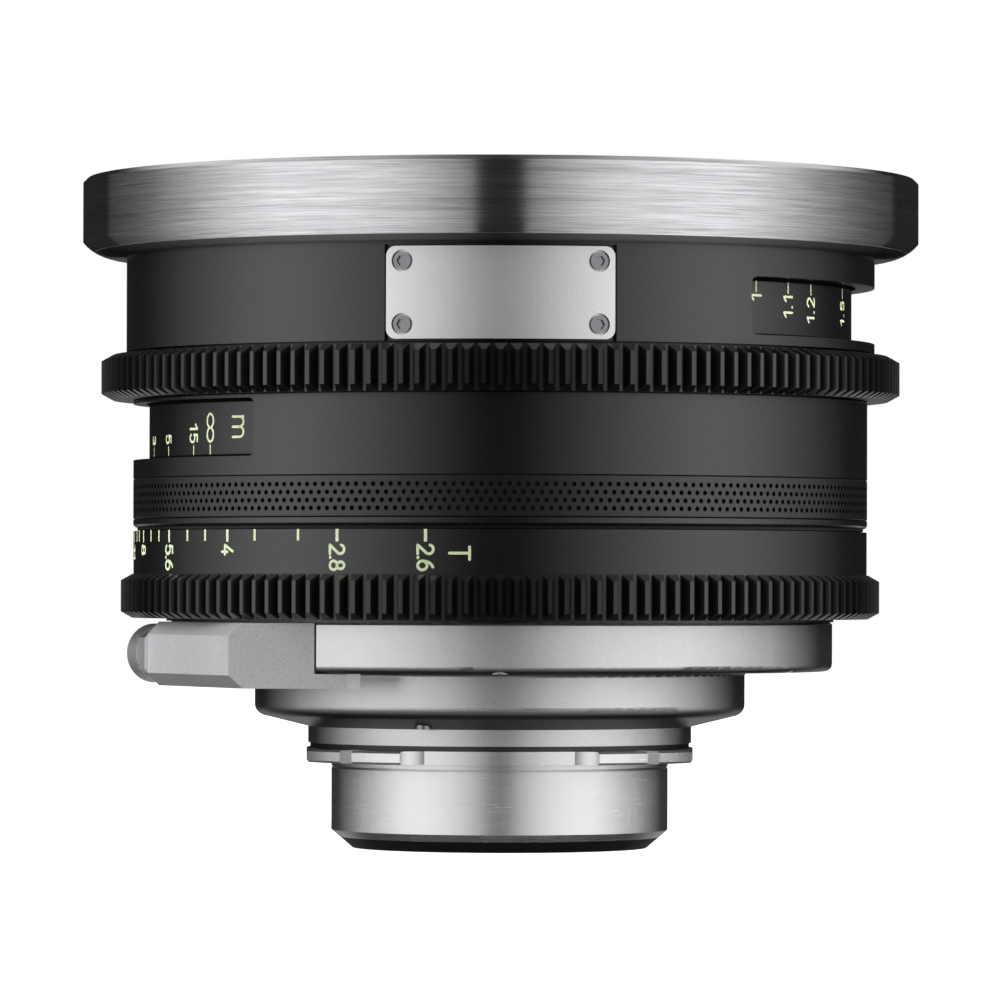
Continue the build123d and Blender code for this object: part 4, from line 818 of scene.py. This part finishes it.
# Studio: floor, light tent, lamps and camera
studio = {
    "floorSize": 6.0, "floorColor": (0.8, 0.8, 0.8, 1.0), "floorGlow": 0.72, "ambient": 0.45,
    "lampPower": 26.0, "lampSize": 0.9, "lampDistance": 1.1, "lampAzimuth": 84.0, "lampHeight": 0.35,
    "topPower": 5.0, "topSize": 1.2, "topDistance": 0.05, "topHeight": 1.4, "aimHeight": 0.04,
}


def seenDirectly(tree):
    # 1 for the camera's rays and for those that a mirror or glass sends on
    path = addNode(tree, "ShaderNodeLightPath")
    sentOn = mathNode(tree, "MAXIMUM", path.outputs["Is Glossy Ray"], path.outputs["Is Transmission Ray"])
    return mathNode(tree, "MAXIMUM", path.outputs["Is Camera Ray"], sentOn)


def makeFloor():
    half = studio["floorSize"] / 2
    corners = [(x * half, y * half, cadLow.z) for x, y in ((-1, -1), (1, -1), (1, 1), (-1, 1))]
    mesh = bpy.data.meshes.new("floor")
    mesh.from_pydata(corners, [], [[0, 1, 2, 3]])
    floor = bpy.data.objects.new("floor", mesh)
    bpy.context.scene.collection.objects.link(floor)
    floor.visible_glossy = False
    material, tree, glow, output = newGlow("paleFloor")
    paper = addNode(tree, "ShaderNodeBsdfDiffuse", Color=studio["floorColor"])
    strength = mathNode(tree, "MULTIPLY", seenDirectly(tree), studio["floorGlow"])
    tree.links.new(strength, glow.inputs["Strength"])
    both = addNode(tree, "ShaderNodeAddShader")
    tree.links.new(paper.outputs[0], both.inputs[0])
    tree.links.new(glow.outputs[0], both.inputs[1])
    tree.links.new(both.outputs[0], output.inputs["Surface"])
    mesh.materials.append(material)


# The light tent. Its walls glow by tentGlow, which gives a strength at each turn in degrees from the front.
# A rise is a height as a share of the tent's radius.
tentGlow = [(0.0, 0.025), (6.0, 0.03), (6.6, 0.06), (7.1, 0.24), (10.5, 0.33), (18.0, 0.52), (26.0, 0.70),
            (36.0, 0.86), (50.0, 0.96), (62.0, 0.97), (72.0, 0.85), (83.0, 0.62), (95.0, 0.38), (109.0, 0.19),
            (118.0, 0.12), (127.0, 0.085), (134.5, 0.065), (136.0, 0.02), (180.0, 0.02)]
tent = {
    "radius": 3.0, "segments": 96, "rings": 48, "footRise": -0.45, "wallRise": -0.08, "footShare": 0.10,
    "roofStart": 0.40, "roofFull": 0.70, "roofGain": 1.6, "roofLeast": 0.02,
    "cardStart": 138.0, "cardFull": 160.0, "cardGlow": 0.55,
    "cardFoot": -0.58, "cardFootFull": -0.45, "cardTopFull": -0.22, "cardTop": -0.12,
}


def tentWalls(tree, angle):
    # The glow round the studio, as straight runs between the points of tentGlow
    ramp = addNode(tree, "ShaderNodeFloatCurve")
    curve = ramp.mapping.curves[0]
    curve.points[0].location = (0.0, tentGlow[0][1])
    curve.points[1].location = (1.0, tentGlow[-1][1])
    for turn, strength in tentGlow[1:-1]:
        curve.points.new(turn / 180.0, strength)
    for point in curve.points:
        point.handle_type = "VECTOR"
    ramp.mapping.update()
    tree.links.new(mathNode(tree, "DIVIDE", angle, math.pi), ramp.inputs["Value"])
    return ramp.outputs[0]


def tentCard(tree, angle, rise):
    # A low card behind the lens, which the photo's view doesn't reflect
    start, full = math.radians(tent["cardStart"]), math.radians(tent["cardFull"])
    behind = mapRange(tree, angle, start, full, 0.0, 1.0, smooth=True)
    top = mapRange(tree, rise, tent["cardTopFull"], tent["cardTop"], tent["cardGlow"], 0.0, smooth=True)
    foot = mapRange(tree, rise, tent["cardFoot"], tent["cardFootFull"], 0.0, 1.0, smooth=True)
    return mathNode(tree, "MULTIPLY", foot, mathNode(tree, "MULTIPLY", top, behind))


def makeTent():
    # A ball round the studio that only reflections see: dark in front, bright at both sides
    radius = tent["radius"]
    bpy.ops.mesh.primitive_uv_sphere_add(segments=tent["segments"], ring_count=tent["rings"], radius=radius)
    ball = bpy.context.object
    ball.name = "light_tent"
    for flag in ("visible_camera", "visible_diffuse", "visible_transmission", "visible_shadow",
                 "visible_volume_scatter"):
        setattr(ball, flag, False)
    material, tree, glow, output = newGlow("tentCards")
    coords = addNode(tree, "ShaderNodeTexCoord")
    parts = partsOf(tree, coords.outputs["Object"])
    front = mathNode(tree, "MULTIPLY", parts["Y"], -1.0)
    side = mathNode(tree, "ABSOLUTE", parts["X"])
    angle = mathNode(tree, "ARCTAN2", side, front)
    rise = mathNode(tree, "DIVIDE", parts["Z"], radius)
    fade = mapRange(tree, rise, tent["footRise"], tent["wallRise"], tent["footShare"], 1.0, smooth=True)
    lit = mathNode(tree, "MULTIPLY", tentWalls(tree, angle), fade)
    walls = mathNode(tree, "ADD", lit, tentCard(tree, angle, rise))
    # The roof brightens from a dark line over the lens towards both sides
    sideGlow = mathNode(tree, "MULTIPLY", mathNode(tree, "DIVIDE", side, radius), tent["roofGain"])
    roof = mathNode(tree, "MAXIMUM", sideGlow, tent["roofLeast"])
    roofShare = mapRange(tree, rise, tent["roofStart"], tent["roofFull"], 0.0, 1.0, smooth=True)
    tree.links.new(mapRange(tree, roofShare, 0.0, 1.0, walls, roof), glow.inputs["Strength"])
    tree.links.new(glow.outputs[0], output.inputs["Surface"])
    ball.data.materials.append(material)


def makeWorld():
    world = bpy.data.worlds.new("studio")
    bpy.context.scene.world = world
    world.use_nodes = True
    tree = world.node_tree
    background = tree.nodes["Background"]
    background.inputs["Color"].default_value = (1.0, 1.0, 1.0, 1.0)
    strength = mapRange(tree, seenDirectly(tree), 0.0, 1.0, studio["ambient"], 1.0)
    tree.links.new(strength, background.inputs["Strength"])


def makeLamp(name, azimuth, height, distance, power, size):
    lamp = bpy.data.lights.new(name, "AREA")
    lamp.energy = power
    lamp.size = size
    holder = bpy.data.objects.new(name, lamp)
    turn = math.radians(azimuth)
    holder.location = (distance * math.sin(turn), -distance * math.cos(turn), height)
    aim = Vector((0, 0, studio["aimHeight"])) - holder.location
    holder.rotation_mode = "QUATERNION"
    holder.rotation_quaternion = aim.to_track_quat("-Z", "Y")
    holder.visible_glossy = False
    holder.visible_camera = False
    bpy.context.scene.collection.objects.link(holder)


# The camera of the photograph, from a fit to the curved edges of the rings
photoCamera = {"distance": 1.0437, "eyeHeight": 0.0283, "sideways": -0.00003, "roll": 0.0024,
               "focalPixels": 6498.0, "imagePixels": 1000.0, "horizonPixel": 583.8,
               "sensorMm": 36.0, "clipStart": 0.05, "clipEnd": 20.0}


def makeCamera():
    values = photoCamera
    camera = bpy.data.cameras.new("camera")
    camera.sensor_width = values["sensorMm"]
    camera.lens = values["focalPixels"] / values["imagePixels"] * values["sensorMm"]
    camera.clip_start, camera.clip_end = values["clipStart"], values["clipEnd"]
    holder = bpy.data.objects.new("camera", camera)
    tilt = math.atan((values["horizonPixel"] - values["imagePixels"] / 2) / values["focalPixels"])
    forward = Vector((0.0, math.cos(tilt), math.sin(tilt)))
    upright = Vector((0.0, -math.sin(tilt), math.cos(tilt)))
    right = Vector((1.0, 0.0, 0.0))
    roll = values["roll"]
    up = upright * math.cos(roll) - right * math.sin(roll)
    side = right * math.cos(roll) + upright * math.sin(roll)
    place = Matrix((side, up, -forward)).transposed().to_4x4()
    place.translation = Vector((values["sideways"], -values["distance"], values["eyeHeight"]))
    holder.matrix_world = place
    bpy.context.scene.collection.objects.link(holder)
    bpy.context.scene.camera = holder


makeFloor()
makeTent()
makeWorld()
for name, side in (("lamp_left", -1), ("lamp_right", 1)):
    makeLamp(name, side * studio["lampAzimuth"], studio["lampHeight"], studio["lampDistance"],
             studio["lampPower"], studio["lampSize"])
makeLamp("lamp_top", 0.0, studio["topHeight"], studio["topDistance"], studio["topPower"], studio["topSize"])
makeCamera()
bpy.context.scene.view_settings.view_transform = "Standard"
print("studio made")
